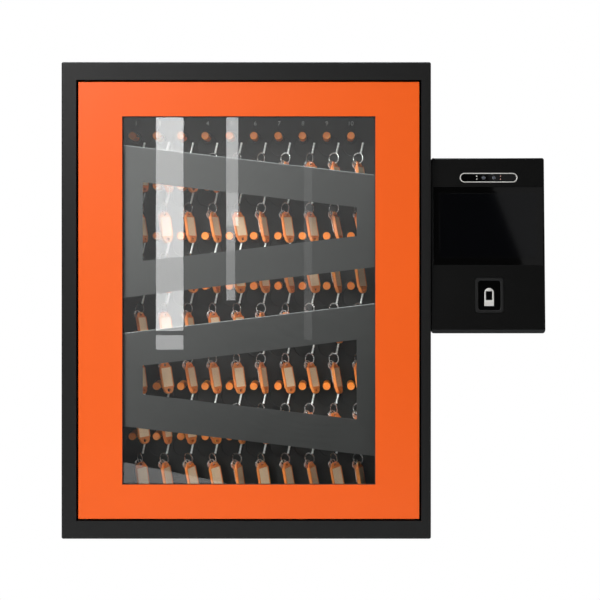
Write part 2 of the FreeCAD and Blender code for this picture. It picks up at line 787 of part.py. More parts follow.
def fob_body(label):
    """A fob in its own frame: origin on the panel's front, pointing out along -Y."""
    body = new_body(label)
    pad(body, "shank", (-d.shank_length, d.bezel_height + 0.2), circle(0, 0, d.shank_radius))
    pad(body, "head", (d.bezel_height + 0.2, d.head_length), circle(0, 0, d.head_radius))
    dress(body, "Fillet", "front_edge", 0.9, on_plane("y", -d.head_length))
    pocket(body, "eye", (-10, 10), circle(-d.eye_out, -d.eye_drop, d.eye_radius),
           role="YZ_Plane")
    return body


def tag_body():
    """A tag hanging down from its upper hole, which is the origin."""
    across = (-d.tag_width / 2, d.tag_width / 2)
    high = d.tag_hole_inset
    low = high - d.tag_length
    half = d.tag_gauge / 2
    body = new_body("tag")
    pad(body, "blank", (-half, half), rectangle(across, (low, high)))
    dress(body, "Fillet", "corners", 6, runs_out(*corners_of(across, (low, high))))
    lug = (d.tag_gauge - d.tag_lug_gauge) / 2
    for name, out in (("lug_front", (half - lug, half)), ("lug_back", (-half, lug - half))):
        pocket(body, name, out, rectangle(grown(across, 1), (high - 7.5, high + 1)))
    pocket(body, "label_recess", (half - 0.6, half),
           rectangle(grown(across, -2.5), (low + 10, high - 10)))
    pocket(body, "holes", (-half, half), circle(0, 0, d.tag_hole_radius),
           circle(0, low + 5.5, d.tag_hole_radius))
    doc.recompute()
    return body


def key_body():
    """A small lock key hanging down from its hole, which is the origin."""
    half = d.key_gauge / 2
    body = new_body("key_blank")
    pad(body, "bow", (-half, half), circle(0, -d.key_bow_drop, d.key_bow_radius))
    tip = d.key_bow_radius - d.key_bow_drop - d.key_length
    edge = d.key_blade_width / 2
    root = -9
    pad(body, "blade", (-half, half), outline([
        (-edge, root), (-edge, tip + 3), (-0.8, tip), (1.2, tip), (edge, tip + 3),
        (edge, tip + 6), (edge - 1.6, tip + 7.5), (edge - 0.4, tip + 9.5),
        (edge - 2, tip + 12), (edge - 0.6, tip + 14.5), (edge, tip + 17), (edge, root),
    ]))
    pocket(body, "hole", (-half, half), circle(0, 0, d.key_hole_radius))
    doc.recompute()
    return body


def hanging_shapes(tag, key):
    """Makes the shapes that hang from a fob's eye, in a frame at the eye's centre."""
    loop_radius, wire = d.cable_loop_radius.number, d.cable_loop_wire.number
    crimp_turn = -12
    half_gap = 30
    crimp_half = loop_radius * math.sin(math.radians(half_gap))
    centre = Vector(d.cable_loop_shift.number, 0, d.eye_drop.number - loop_radius)
    # the cable runs the long way round, and its ends go 4 degrees into the crimp
    inside = 4
    ring = Part.makeTorus(loop_radius, wire, Vector(), Vector(0, 0, 1), 0, 360,
                          360 - 2 * half_gap + 2 * inside)
    turn = Rotation(Vector(1, 0, 0), 90).multiply(
        Rotation(Vector(0, 0, 1), crimp_turn + half_gap - inside))
    cable = moved(ring, Placement(centre, turn))
    angle = math.radians(crimp_turn)
    along = Vector(-math.sin(angle), 0, math.cos(angle))
    middle = centre + Vector(math.cos(angle), 0, math.sin(angle)) * (
        loop_radius * math.cos(math.radians(half_gap)))
    crimp = Part.makeCylinder(d.ferrule_radius.number, 2 * crimp_half + 1.2,
                              middle - along * (crimp_half + 0.6), along)
    crimp = crimp.cut(cable)

    ring_radius = d.ring_radius.number
    ring_middle = Vector(d.ring_shift.number, 0, d.eye_drop.number - d.ring_drop.number)
    split_ring = Part.makeTorus(ring_radius, d.ring_wire.number, Vector(), Vector(0, 1, 0))
    key_angle = math.radians(46)
    key_twist = 14
    hang = d.ring_wire.number + 0.35
    most_ring_turn = 60

    def hung(tag_turn, lean):
        """The ring, tag and key at one turn about Z and one lean, placed about the cable."""
        facing = Rotation(Vector(0, 0, 1), tag_turn)
        ring_turn = min(tag_turn, most_ring_turn)
        ring_way = Rotation(Vector(0, 0, 1), ring_turn).multVec(Vector(0, -1, 0))
        swing_about = ring_middle + Vector(0, 0, ring_radius - 3)
        lean_over = Placement(Vector(), Rotation(Vector(0, 1, 0), -lean), swing_about)

        def put(shape, spot, rotation):
            return moved(shape, lean_over.multiply(Placement(spot, rotation)))

        tag_drop = ring_radius + d.tag_hole_radius.number - hang
        key_spot = ring_way * (-ring_radius * math.sin(key_angle))
        key_drop = ring_radius * math.cos(key_angle) + 0.3
        key_facing = Rotation(Vector(0, 0, 1), ring_turn - key_twist)
        return [
            put(split_ring, ring_middle, Rotation(Vector(0, 0, 1), ring_turn - 90)),
            put(tag.Shape, ring_middle - Vector(0, 0, tag_drop), facing),
            put(key.Shape, ring_middle + key_spot - Vector(0, 0, key_drop), key_facing),
        ]

    return [cable, crimp], hung


def set_turn(column, row):
    """How far a tag is turned from the front, in degrees: no two neighbours hang alike."""
    return 53 + 16 * math.sin(2.4 * column + 1.7 * row * row)


def set_lean(column, row):
    return 9.5 + 1.5 * math.sin(1.3 * column + 2.9 * row)


def set_tilt(row):
    """Each set rests against the row below it, so it hangs forward; the last row hangs plumb."""
    return 0 if row == ROWS - 1 else 8


def make_key_sets():
    for column in range(COLUMNS):
        label = f"key_fob_{column + 1:02d}"
        keep(place(fob_body(label), grid_across[column], d.panel_out, grid_up[0]), label)
    prototype = fob_body("fob_pattern")
    doc.recompute()
    cable_and_crimp, hung = hanging_shapes(tag_body(), key_body())
    eye = Vector(0, -d.eye_out.number, -d.eye_drop.number)
    fobs, seals, rings, tags, keys = [], [], [], [], []
    for row in range(ROWS):
        for column in range(COLUMNS):
            corner = grid_point(column, row, d.panel_out)
            tilt = Rotation(Vector(1, 0, 0), -set_tilt(row))
            frame = Placement(corner + eye, tilt)
            seal = [moved(shape, frame) for shape in cable_and_crimp]
            ring, tag, key = (
                moved(shape, frame)
                for shape in hung(set_turn(column, row), set_lean(column, row))
            )
            if row == 0:
                copies(f"key_set_{column + 1:02d}", [*seal, ring, tag, key])
                continue
            fobs.append(moved(prototype.Shape, Placement(corner, Rotation())))
            seals += seal
            rings.append(ring)
            tags.append(tag)
            keys.append(key)
    copies("key_fobs", fobs)
    copies("key_seals", seals)
    copies("key_rings", rings)
    copies("key_tags", tags)
    copies("keys", keys)


# ---------------------------------------------------------------- terminal

terminal_left = half_width + d.terminal_gap
terminal_middle = terminal_left + d.terminal_width / 2


def on_face(body, label):
    """Places a body built in the frame of the terminal's leaning face, and keeps it."""
    body.Placement = Placement(Vector(), Rotation(Vector(1, 0, 0), -d.terminal_tilt.number))
    body.setExpression("Placement.Rotation.Angle", d.terminal_tilt.text)
    body.setExpression("Placement.Rotation.Axis.x", "-1")
    place(body, terminal_middle, d.terminal_face_out, d.terminal_level)
    return keep(body, label)


def make_terminal_shell():
    """A wedge-shaped rear housing that stops at the cover's back."""
    lean = math.tan(math.radians(d.terminal_tilt.number))
    half = d.terminal_height / 2 - 1
    low, high = d.terminal_level - half, d.terminal_level + half
    parting = d.terminal_face_out - d.cover_depth - 0.6

    def side(inset, past):
        """The side outline, inset by a wall and reaching past the parting plane."""
        back = -(d.terminal_back_out + inset)
        front_low = -(parting + half * lean + past)
        front_high = -(parting - half * lean + past)
        return outline([(back, low + inset), (front_low, low + inset),
                        (front_high, high - inset), (back, high - inset)])

    left, right = terminal_left + 1, terminal_left + d.terminal_width - 1
    wall = d.cover_wall
    body = new_body("terminal_shell")
    pad(body, "wedge", (left, right), side(0, 0), role="YZ_Plane")
    dress(body, "Fillet", "rear_edges", 4, on_plane("y", -d.terminal_back_out))
    pocket(body, "inside", (left + wall, right - wall), side(wall, 3), role="YZ_Plane")
    pad(body, "mounting_boss", (half_width, left + 1),
        rectangle((-(d.terminal_back_out + 43), -(d.terminal_back_out + 2)),
                  about(d.terminal_level, 210)), role="YZ_Plane")
    pocket(body, "screw_bores", (half_width, half_width + 6.5), *[
        circle(-out, up, d.screw_bore_radius) for out, up in terminal_screw_places()
    ], role="YZ_Plane")
    pocket(body, "wire_way", (half_width - 1, left + wall + 1),
           circle(-fixing_out, d.terminal_level, 9), role="YZ_Plane")
    keep(body, "terminal_shell")


def make_terminal_face():
    half_across, half_up = d.terminal_width / 2, d.terminal_height / 2
    across, up = (-half_across, half_across), (-half_up, half_up)
    glass = (grown(across, -2.6), (-32, 94.7))
    screen = (about(0, 157), about(32.3, 104))
    pill = (about(1.4, 93), about(109.6, 15.6))
    reader = (about(1.7, 46.6), about(-80.2, 57.6))
    arch = (about(1.2, 15.4), (-97.5, -68.5))
    reader_floor = -d.cover_front + 1.4

    cover = new_body("terminal_cover")
    pad(cover, "blank", (-d.cover_depth, 0), rectangle(across, up))

    def lower_front_edge(points):
        return all(near(p.y, 0) and near(p.z, -half_up) for p in points)

    dress(cover, "Chamfer", "lower_bevel", 6, lower_front_edge)
    dress(cover, "Fillet", "upper_corners", 3.5, runs_out(*corners_of(across, up)))
    pocket(cover, "inside", (-d.cover_depth, -d.cover_front),
           rectangle(grown(across, -d.cover_wall), (up[0] + 7, up[1] - d.cover_wall)))
    pocket(cover, "glass_recess", (-2, 0), rectangle(*glass))
    pocket(cover, "screen_window", (-d.cover_front, -1), rectangle(*screen))
    pocket(cover, "pill_recess", (-2.6, 0), rectangle(*pill))
    dress(cover, "Fillet", "pill_corners", pill_round(15.6), runs_out(*corners_of(*pill)))
    pocket(cover, "reader_recess", (reader_floor, 0), rectangle(*reader))
    dress(cover, "Fillet", "reader_corners", 6, runs_out(*corners_of(*reader)))
    on_face(cover, "terminal_cover")

    on_face(plate("touch_glass", grown(glass[0], -0.2), grown(glass[1], -0.2), (-2, -0.2)),
            "touch_glass")
    on_face(plate("display_panel", grown(screen[0], -0.3), grown(screen[1], -0.3), (-7.5, -2)),
            "display_panel")

    ring = plate("camera_ring", grown(pill[0], -0.1), grown(pill[1], -0.1), (-2.6, 0.35),
                 rectangle(grown(pill[0], -1.5), grown(pill[1], -1.5)))
    dress(ring, "Fillet", "outer_round", pill_round(15.4),
          runs_out(*corners_of(grown(pill[0], -0.1), grown(pill[1], -0.1))))
    dress(ring, "Fillet", "inner_round", pill_round(12.6),
          runs_out(*corners_of(grown(pill[0], -1.5), grown(pill[1], -1.5))))
    on_face(ring, "camera_ring")

    eyes = camera_eyes()
    pane = (grown(pill[0], -1.6), grown(pill[1], -1.6))
    camera = plate("camera_window", *pane, (-2.6, -0.6),
                   *[circle(x, z, radius + 0.05) for x, z, radius in eyes])
    dress(camera, "Fillet", "round_ends", pill_round(12.4), runs_out(*corners_of(*pane)))
    on_face(camera, "camera_window")
    lenses = []
    for number, (x, z, radius) in enumerate(eyes):
        lens = new_body(f"eye_{number}")
        pad(lens, "disc", (-2.6, -0.3), circle(x, z, radius))
        dress(lens, "Fillet", "dome", radius * 0.25, on_plane("y", 0.3))
        lenses.append(lens)
    on_face(compound("camera_eyes", lenses), "camera_lenses")

    bezel = plate("reader_bezel", grown(reader[0], -0.2), grown(reader[1], -0.2),
                  (reader_floor, reader_floor + 1.4), rectangle(*arch))
    dress(bezel, "Fillet", "corners", 5.8,
          runs_out(*corners_of(grown(reader[0], -0.2), grown(reader[1], -0.2))))
    on_face(bezel, "reader_bezel")

    body = (grown(arch[0], -0.1), grown(arch[1], -0.1))
    sensor = (about(1.1, 10.4), (-88, -73.6))
    holder = plate("reader_arch", *body, (reader_floor, -0.2), rectangle(*sensor))
    dress(holder, "Fillet", "arch_top", 7.4,
          runs_out(*[(x, body[1][1]) for x in body[0]]))
    on_face(holder, "reader_arch")
    on_face(plate("reader_window", grown(sensor[0], -0.1), grown(sensor[1], -0.1),
                  (reader_floor, -0.8)), "reader_window")

    board = plate("terminal_board", about(0, 150), about(-10, 200), (-11.6, -10),
                  *[circle(side * 70, level * 95 - 10, 1.6)
                    for side in (-1, 1) for level in (-1, 1)])
    pad(board, "chips", (-14.6, -11.6), rectangle((-30, -8), (10, 32)),
        rectangle((14, 40), (-22, -6)), rectangle((-52, -40), (-60, -24)))
    on_face(board, "terminal_board")


def pill_round(height):
    """A corner radius just short of half the height, so that an end is a whole round."""
    return height / 2 - 0.02


def camera_eyes():
    """Two lenses, and a pair of small lamps on each side of them: x, z and radius."""
    level, middle = 109.6, 1.6
    lamps = [(middle + side * 19.2, level + end * 2.4, 0.9) for side in (-1, 1)
             for end in (-1, 1)]
    return [(middle - 8.3, level, 3), (middle + 8.3, level, 2.7), *lamps]


# ---------------------------------------------------------------- build, check and write

make_carcass()
make_back_plate()
make_door_jamb()
make_door_seal()
make_hinge()
make_cable_grommet()
make_key_panel()
make_receptors()
make_controller_board()
make_power_supply()
make_backup_battery()
make_lock()
make_screws(make_door())
make_privacy_bands()
make_key_sets()
make_terminal_shell()
make_terminal_face()
doc.recompute()

for thing in doc.Objects:
    if {"Invalid", "Error"} & set(thing.State):
        raise ValueError(f"{thing.Label} did not compute: {thing.State}")
for thing in sub_parts:
    if thing.Shape.isNull() or not thing.Shape.isValid():
        raise ValueError(f"{thing.Label} has no valid shape")

os.makedirs("parts", exist_ok=True)
for thing in sub_parts:
    thing.Shape.exportStep(f"parts/{thing.Label}.step")
print(len(sub_parts), "sub-parts written")
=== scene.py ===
"""Looks of the key cabinet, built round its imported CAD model. Metres; the front faces -Y."""
import math

import bmesh
import bpy
import numpy as np
from mathutils import Matrix, Vector


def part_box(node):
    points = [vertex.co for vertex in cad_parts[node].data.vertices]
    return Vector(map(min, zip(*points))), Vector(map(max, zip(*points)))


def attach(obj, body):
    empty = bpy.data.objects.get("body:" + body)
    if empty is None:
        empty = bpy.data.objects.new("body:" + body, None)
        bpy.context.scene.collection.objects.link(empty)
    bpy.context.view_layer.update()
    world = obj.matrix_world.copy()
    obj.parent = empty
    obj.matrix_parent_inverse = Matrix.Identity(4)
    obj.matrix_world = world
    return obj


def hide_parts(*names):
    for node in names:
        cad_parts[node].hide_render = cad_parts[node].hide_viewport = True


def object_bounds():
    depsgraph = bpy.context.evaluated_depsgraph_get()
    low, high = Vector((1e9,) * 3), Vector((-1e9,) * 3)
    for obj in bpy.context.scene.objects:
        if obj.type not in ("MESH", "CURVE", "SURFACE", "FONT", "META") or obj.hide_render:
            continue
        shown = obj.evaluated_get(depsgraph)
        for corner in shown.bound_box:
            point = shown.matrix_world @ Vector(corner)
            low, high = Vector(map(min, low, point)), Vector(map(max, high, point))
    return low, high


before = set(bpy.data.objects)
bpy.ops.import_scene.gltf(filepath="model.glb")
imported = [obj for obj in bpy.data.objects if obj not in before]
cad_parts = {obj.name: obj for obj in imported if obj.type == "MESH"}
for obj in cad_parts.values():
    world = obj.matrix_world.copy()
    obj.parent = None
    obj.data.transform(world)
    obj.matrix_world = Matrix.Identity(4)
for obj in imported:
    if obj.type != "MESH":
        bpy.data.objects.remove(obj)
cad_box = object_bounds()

MM = 0.001
ROWS, COLUMNS = 7, 10
scene = bpy.context.scene
collection = scene.collection


# ---------------------------------------------------------------- camera and light

def add_camera():
    data = bpy.data.cameras.new("camera")
    data.lens, data.sensor_width = 60, 36
    data.shift_x, data.shift_y = -0.05, -0.08
    camera = bpy.data.objects.new("camera", data)
    camera.location = (0.1342, -1.8, 0.0776)
    camera.rotation_euler = (math.radians(90), 0, 0)
    collection.objects.link(camera)
    scene.camera = camera


def add_panel(name, place, aim, size, power, colour=(1, 1, 1)):
    """A soft box that shines from one place towards another."""
    data = bpy.data.lights.new(name, "AREA")
    data.shape = "RECTANGLE"
    data.size, data.size_y = size
    data.energy = power
    data.color = colour
    light = bpy.data.objects.new(name, data)
    light.location = place
    light.rotation_euler = (Vector(aim) - Vector(place)).to_track_quat("-Z", "Y").to_euler()
    light.visible_camera = False
    collection.objects.link(light)
    return light


def add_strip(name, left, right, low, high, radiance, lean=0.0):
    """A tall strip behind the camera, seen in the window glass between these limits (metres,
    on the glass)."""
    far = -3.0
    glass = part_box("window_glass")[0].y
    eye = scene.camera.location
    reach = (glass - eye.y + glass - far) / (glass - eye.y)

    def mirrored(value, centre):
        return centre + (value - centre) * reach

    x0, x1 = mirrored(left, eye.x), mirrored(right, eye.x)
    z0, z1 = mirrored(low, eye.z), mirrored(high, eye.z)
    width, height = x1 - x0, z1 - z0
    strip = add_panel(name, ((x0 + x1) / 2, far, (z0 + z1) / 2), ((x0 + x1) / 2, 0, (z0 + z1) / 2),
                      (width, height), radiance * math.pi * width * height)
    strip.rotation_euler.rotate_axis("Z", lean)
    strip.data.spread = math.radians(180)
    return strip


def add_world():
    """A room that is dim in front of the cabinet, but for a pale wall that its window mirrors,
    brighter towards the upper left. It shows as plain white."""
    world = bpy.data.worlds.new("room")
    world.use_nodes = True
    scene.world = world
    tree = world.node_tree
    nodes, link = tree.nodes, tree.links.new
    place = nodes.new("ShaderNodeTexCoord")
    apart = nodes.new("ShaderNodeSeparateXYZ")
    link(place.outputs["Generated"], apart.inputs[0])
    front = nodes.new("ShaderNodeMapRange")
    front.interpolation_type = "SMOOTHSTEP"
    front.inputs["From Min"].default_value = -0.9
    front.inputs["From Max"].default_value = -0.25
    front.inputs["To Min"].default_value = 0.025
    front.inputs["To Max"].default_value = 0.42
    link(apart.outputs["Y"], front.inputs["Value"])

    def arithmetic(operation, *values):
        step = nodes.new("ShaderNodeMath")
        step.operation = operation
        for socket, value in zip(step.inputs, values):
            if isinstance(value, (int, float)):
                socket.default_value = value
            else:
                link(value, socket)
        return step.outputs[0]

    def ramp(value, start, end):
        fade = nodes.new("ShaderNodeMapRange")
        fade.interpolation_type = "SMOOTHSTEP"
        fade.inputs["From Min"].default_value = start
        fade.inputs["From Max"].default_value = end
        link(value, fade.inputs["Value"])
        return fade.outputs[0]

    # the wall is brighter to the left and above, and is cut off at its right
    wall = arithmetic("MULTIPLY_ADD", apart.outputs["X"], -1.6, 0.30)
    wall = arithmetic("MULTIPLY_ADD", apart.outputs["Z"], 2.3, wall)
    ahead = ramp(arithmetic("MULTIPLY", apart.outputs["Y"], -1.0), 0.86, 0.95)
    aside = arithmetic("SUBTRACT", 1.0, ramp(apart.outputs["X"], 0.055, 0.095))
    wall = arithmetic("MULTIPLY", arithmetic("MULTIPLY", wall, ahead), aside)
    strength = arithmetic("ADD", arithmetic("MAXIMUM", wall, 0.0), front.outputs[0])
    dim = nodes.new("ShaderNodeBackground")
    dim.inputs["Color"].default_value = (1, 1, 1, 1)
    link(strength, dim.inputs["Strength"])
    plain = nodes.new("ShaderNodeBackground")
    plain.inputs["Color"].default_value = (1, 1, 1, 1)
    ray = nodes.new("ShaderNodeLightPath")
    both = nodes.new("ShaderNodeMixShader")
    link(ray.outputs["Is Camera Ray"], both.inputs[0])
    link(dim.outputs[0], both.inputs[1])
    link(plain.outputs[0], both.inputs[2])
    link(both.outputs[0], nodes["World Output"].inputs["Surface"])


def add_floor():
    data = bpy.data.meshes.new("floor")
    side, near = 9.0, -1.9
    level = cad_box[0].z - 0.37
    data.from_pydata([(-side, near, level), (side, near, level),
                      (side, side, level), (-side, side, level)], [], [(0, 1, 2, 3)])
    floor = bpy.data.objects.new("floor", data)
    collection.objects.link(floor)
    material = bpy.data.materials.new("pale_floor")
    material.use_nodes = True
    shader = material.node_tree.nodes["Principled BSDF"]
    shader.inputs["Base Color"].default_value = (0.93, 0.93, 0.93, 1)
    shader.inputs["Roughness"].default_value = 0.75
    tree = material.node_tree
    glow = tree.nodes.new("ShaderNodeEmission")
    glow.inputs["Color"].default_value = (1, 1, 1, 1)
    ray = tree.nodes.new("ShaderNodeLightPath")
    both = tree.nodes.new("ShaderNodeMixShader")
    tree.links.new(ray.outputs["Is Camera Ray"], both.inputs[0])
    tree.links.new(shader.outputs[0], both.inputs[1])
    tree.links.new(glow.outputs[0], both.inputs[2])
    tree.links.new(both.outputs[0], tree.nodes["Material Output"].inputs["Surface"])
    data.materials.append(material)


def add_lights():
    add_panel("key", (-1.4, -2.1, 1.35), (-0.1, -0.2, 0.05), (1.2, 1.2), 66)
    add_panel("fill", (2.2, -1.3, 0.9), (0.1, -0.2, 0), (0.9, 1.4), 8)
    add_panel("top", (0.2, -0.5, 2.0), (0.05, -0.1, 0.3), (1.8, 0.9), 16)
    add_panel("edges", (0.1, 0.1, 2.1), (0.1, 0.1, 0), (2.4, 0.3), 70, (0.84, 0.93, 1.0))
    add_strip("window_bar_wide", -0.145, -0.101, -0.049, 0.52, 7.6)
    add_strip("window_bar_foot", -0.145, -0.101, -0.079, -0.056, 7.0)
    add_strip("window_bar_narrow", -0.0322, -0.013, 0.12, 0.52, 5.2)
    add_strip("window_bar_lower", -0.0322, -0.018, 0.0, 0.12, 3.4)
    add_strip("window_bar_faint", 0.0926, 0.1054, -0.063, 0.2168, 0.7)
    add_strip("window_corner", -0.237, -0.017, -0.395, -0.275, 1.45, math.radians(-11.5))
    patch = add_panel("screen_patch", (1.109, -3, 0.518), (1.109, 0, 0.518), (0.4, 0.62), 0.2)
    patch.rotation_euler.rotate_axis("Z", math.radians(21))


# ---------------------------------------------------------------- materials

def node(tree, kind, **settings):
    made = tree.nodes.new(kind)
    for name, value in settings.items():
        if hasattr(made, name):
            setattr(made, name, value)
        else:
            made.inputs[name.replace("_", " ")].default_value = value
    return made


def shade(colour, factor):
    return (*(min(1.0, channel * factor) for channel in colour[:3]), 1)


def finish(name, colour, roughness, metallic=0.0, grain=(900, 0.1), mottle=0.06, patch=9,
           swing=0.05, stretch=(1, 1, 1), **sockets):
    """A moulded, painted or plated surface: grain as bump, and slow drifts of tone and gloss.
    grain is (scale, strength); stretch draws the grain out along an axis, as brushing does."""
    material = bpy.data.materials.new(name)
    material.use_nodes = True
    tree = material.node_tree
    link = tree.links.new
    shader = tree.nodes["Principled BSDF"]
    for socket, value in sockets.items():
        shader.inputs[socket.replace("_", " ")].default_value = value
    shader.inputs["Metallic"].default_value = metallic
    place = node(tree, "ShaderNodeTexCoord")
    drift = node(tree, "ShaderNodeTexNoise", Scale=patch, Detail=3.0, Roughness=0.55)
    link(place.outputs["Object"], drift.inputs["Vector"])
    tone = node(tree, "ShaderNodeMix", data_type="RGBA")
    tone.inputs["A"].default_value = shade(colour, 1 - mottle)
    tone.inputs["B"].default_value = shade(colour, 1 + mottle)
    link(drift.outputs["Fac"], tone.inputs["Factor"])
    link(tone.outputs["Result"], shader.inputs["Base Color"])
    drawn = node(tree, "ShaderNodeMapping", Scale=stretch)
    link(place.outputs["Object"], drawn.inputs["Vector"])
    fine = node(tree, "ShaderNodeTexNoise", Scale=grain[0], Detail=2.0)
    link(drawn.outputs["Vector"], fine.inputs["Vector"])
    gloss = node(tree, "ShaderNodeMapRange", To_Min=roughness - swing, To_Max=roughness + swing)
    link(drift.outputs["Fac"], gloss.inputs["Value"])
    link(gloss.outputs[0], shader.inputs["Roughness"])
    bump = node(tree, "ShaderNodeBump", Strength=grain[1], Distance=0.0002)
    link(fine.outputs["Fac"], bump.inputs["Height"])
    link(bump.outputs["Normal"], shader.inputs["Normal"])
    return material


def glass(name, tint):
    """A clear pane. Rays from lamps go straight through it, so that it lights what is behind."""
    material = bpy.data.materials.new(name)
    material.use_nodes = True
    tree = material.node_tree
    shader = tree.nodes["Principled BSDF"]
    for socket, value in (("Base Color", (*tint, 1)), ("Roughness", 0.0), ("IOR", 1.5),
                          ("Transmission Weight", 1.0)):
        shader.inputs[socket].default_value = value
    clear = node(tree, "ShaderNodeBsdfTransparent", Color=(*tint, 1))
    ray = node(tree, "ShaderNodeLightPath")
    both = node(tree, "ShaderNodeMixShader")
    tree.links.new(ray.outputs["Is Shadow Ray"], both.inputs[0])
    tree.links.new(shader.outputs[0], both.inputs[1])
    tree.links.new(clear.outputs[0], both.inputs[2])
    tree.links.new(both.outputs[0], tree.nodes["Material Output"].inputs["Surface"])
    return material


def paper(name, colour):
    """A paper label with faint upright fibres."""
    return finish(name, colour, 0.8, grain=(2600, 0.5), mottle=0.12, patch=260,
                  stretch=(1, 1, 0.12))


body_paint = finish("body_paint", (0.0038, 0.0038, 0.0036), 0.46, grain=(1500, 0.55), mottle=0.1,
                    swing=0.04, Specular_IOR_Level=0.2)
back_steel = finish("back_steel", (0.030, 0.030, 0.031), 0.42, grain=(1200, 0.35), mottle=0.1)
door_paint = finish("door_paint", (0.67, 0.084, 0.0034), 0.42, grain=(650, 0.13), mottle=0.025,
                    patch=5, swing=0.03, Specular_IOR_Level=0.24)
lining_paint = finish("lining_paint", (0.020, 0.020, 0.020), 0.45, grain=(1200, 0.35))
panel_paint = finish("panel_paint", (0.0135, 0.0135, 0.0129), 0.62, grain=(1400, 0.5), mottle=0.08)
pane = glass("window_glass", (0.97, 0.985, 0.975))
film = finish("film", (0.0195, 0.0195, 0.019), 0.48, grain=(500, 0.05), mottle=0.03,
              Specular_IOR_Level=1.0, IOR=1.75)
# painted highlight: a pale grey that stands in for the light caught by the film bands' cut edges
painted_film_highlight = finish("painted_film_highlight", (0.27, 0.28, 0.28), 0.4, grain=(900, 0.1))
seal_rubber = finish("seal_rubber", (0.012, 0.012, 0.012), 0.7, grain=(700, 0.4))
clamp_aluminium = finish("clamp_aluminium", (0.42, 0.42, 0.43), 0.34, 1.0, (700, 0.3), 0.08,
                         stretch=(1, 1, 0.06))
hard_steel = finish("hard_steel", (0.52, 0.52, 0.52), 0.3, 1.0, (900, 0.25), 0.1, patch=60,
                    stretch=(0.1, 1, 1))
pin_steel = finish("pin_steel", (0.06, 0.06, 0.06), 0.45, 1.0, (900, 0.25), 0.1, patch=60)
bush_brass = finish("bush_brass", (0.66, 0.46, 0.20), 0.28, 1.0, (900, 0.2), 0.1, patch=60)
black_plastic = finish("black_plastic", (0.012, 0.012, 0.012), 0.5, grain=(1700, 0.5))
supply_case = finish("supply_case", (0.45, 0.45, 0.46), 0.36, 1.0, (800, 0.3), 0.1)
circuit_board = finish("circuit_board", (0.012, 0.085, 0.035), 0.35, grain=(1500, 0.3),
                       mottle=0.3, patch=220)
fob_plastic = finish("fob_plastic", (1.0, 0.27, 0.026), 0.33, grain=(1800, 0.18), mottle=0.05,
                     patch=70, Subsurface_Weight=0.12, Subsurface_Scale=0.002)
contact_steel = finish("contact_steel", (0.7, 0.68, 0.6), 0.22, 1.0, (1500, 0.1), 0.06, patch=90)
cable_steel = finish("cable_steel", (0.035, 0.035, 0.036), 0.42, 1.0, (2500, 0.3), 0.15, patch=300)
crimp_metal = finish("crimp_metal", (0.86, 0.86, 0.85), 0.36, 0.8, (2200, 0.35), 0.1, patch=300,
                     stretch=(1, 1, 0.2))
ring_steel = finish("ring_steel", (0.93, 0.93, 0.92), 0.2, 0.9, (2200, 0.12), 0.06, patch=200)
tag_plastic = finish("tag_plastic", (0.82, 0.24, 0.055), 0.3, grain=(1500, 0.15), mottle=0.1,
                     patch=90, Subsurface_Weight=0.25, Subsurface_Scale=0.003)
label_paper = paper("label_paper", (1.0, 0.68, 0.45))
key_nickel = finish("key_nickel", (0.95, 0.93, 0.89), 0.24, 0.8, (1800, 0.4), 0.14, patch=160,
                    stretch=(1, 1, 0.15))
print_white = finish("print_white", (0.72, 0.72, 0.70), 0.6, grain=(1500, 0.2))
terminal_plastic = finish("terminal_plastic", (0.0014, 0.0014, 0.0013), 0.4,
                          grain=(1900, 0.4), mottle=0.08, Specular_IOR_Level=0.13)
surround_plastic = finish("surround_plastic", (0.0022, 0.0022, 0.0021), 0.35,
                          grain=(1900, 0.3), mottle=0.06, Specular_IOR_Level=0.5)
screen_black = finish("screen_black", (0.0006, 0.0006, 0.0006), 0.035, grain=(300, 0.0),
                      mottle=0.05, swing=0.01)
screen_lit_area = finish("screen_area", (0.0006, 0.0007, 0.0011), 0.05, grain=(300, 0.0),
                         mottle=0.05, swing=0.01)
bright_trim = finish("bright_trim", (0.86, 0.84, 0.80), 0.34, 0.7, (1500, 0.25), 0.05, patch=120,
                     stretch=(0.1, 1, 1))
lens_glass = finish("lens_glass", (0.055, 0.065, 0.085), 0.06, grain=(300, 0), Coat_Weight=1.0,
                    Coat_Roughness=0.02)
lens_rim = finish("lens_rim", (0.16, 0.16, 0.165), 0.3, 1.0, (1500, 0.2), 0.08, patch=120)
lamp_white = finish("lamp_white", (0.62, 0.60, 0.56), 0.25, grain=(900, 0.1))
lamp_rose = finish("lamp_rose", (0.50, 0.27, 0.22), 0.25, grain=(900, 0.1))


# ---------------------------------------------------------------- pieces

def add(name, mesh, body, material, nodes=()):
    """Puts a mesh in the scene as a piece that rides on a body and stands for CAD nodes."""
    mesh.materials.clear()
    mesh.materials.append(material)
    piece = bpy.data.objects.new(name, mesh)
    collection.objects.link(piece)
    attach(piece, body)
    if nodes:
        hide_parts(*nodes)
    return piece


def smooth(mesh, angle=32):
    """Smooth shading up to an angle, with flat faces kept flat beside their rounded edges."""
    mesh.shade_smooth()
    mesh.set_sharp_from_angle(angle=math.radians(angle))
    piece = bpy.data.objects.new("smooth", mesh)
    weigh = piece.modifiers.new("weigh", "WEIGHTED_NORMAL")
    weigh.keep_sharp = True
    weigh.weight = 100
    return baked(piece)


def baked(piece):
    """The mesh of a loose object with its modifiers applied; the object goes."""
    if not piece.users_collection:
        collection.objects.link(piece)
    graph = bpy.context.evaluated_depsgraph_get()
    graph.update()
    mesh = bpy.data.meshes.new_from_object(piece.evaluated_get(graph))
    bpy.data.objects.remove(piece)
    return mesh


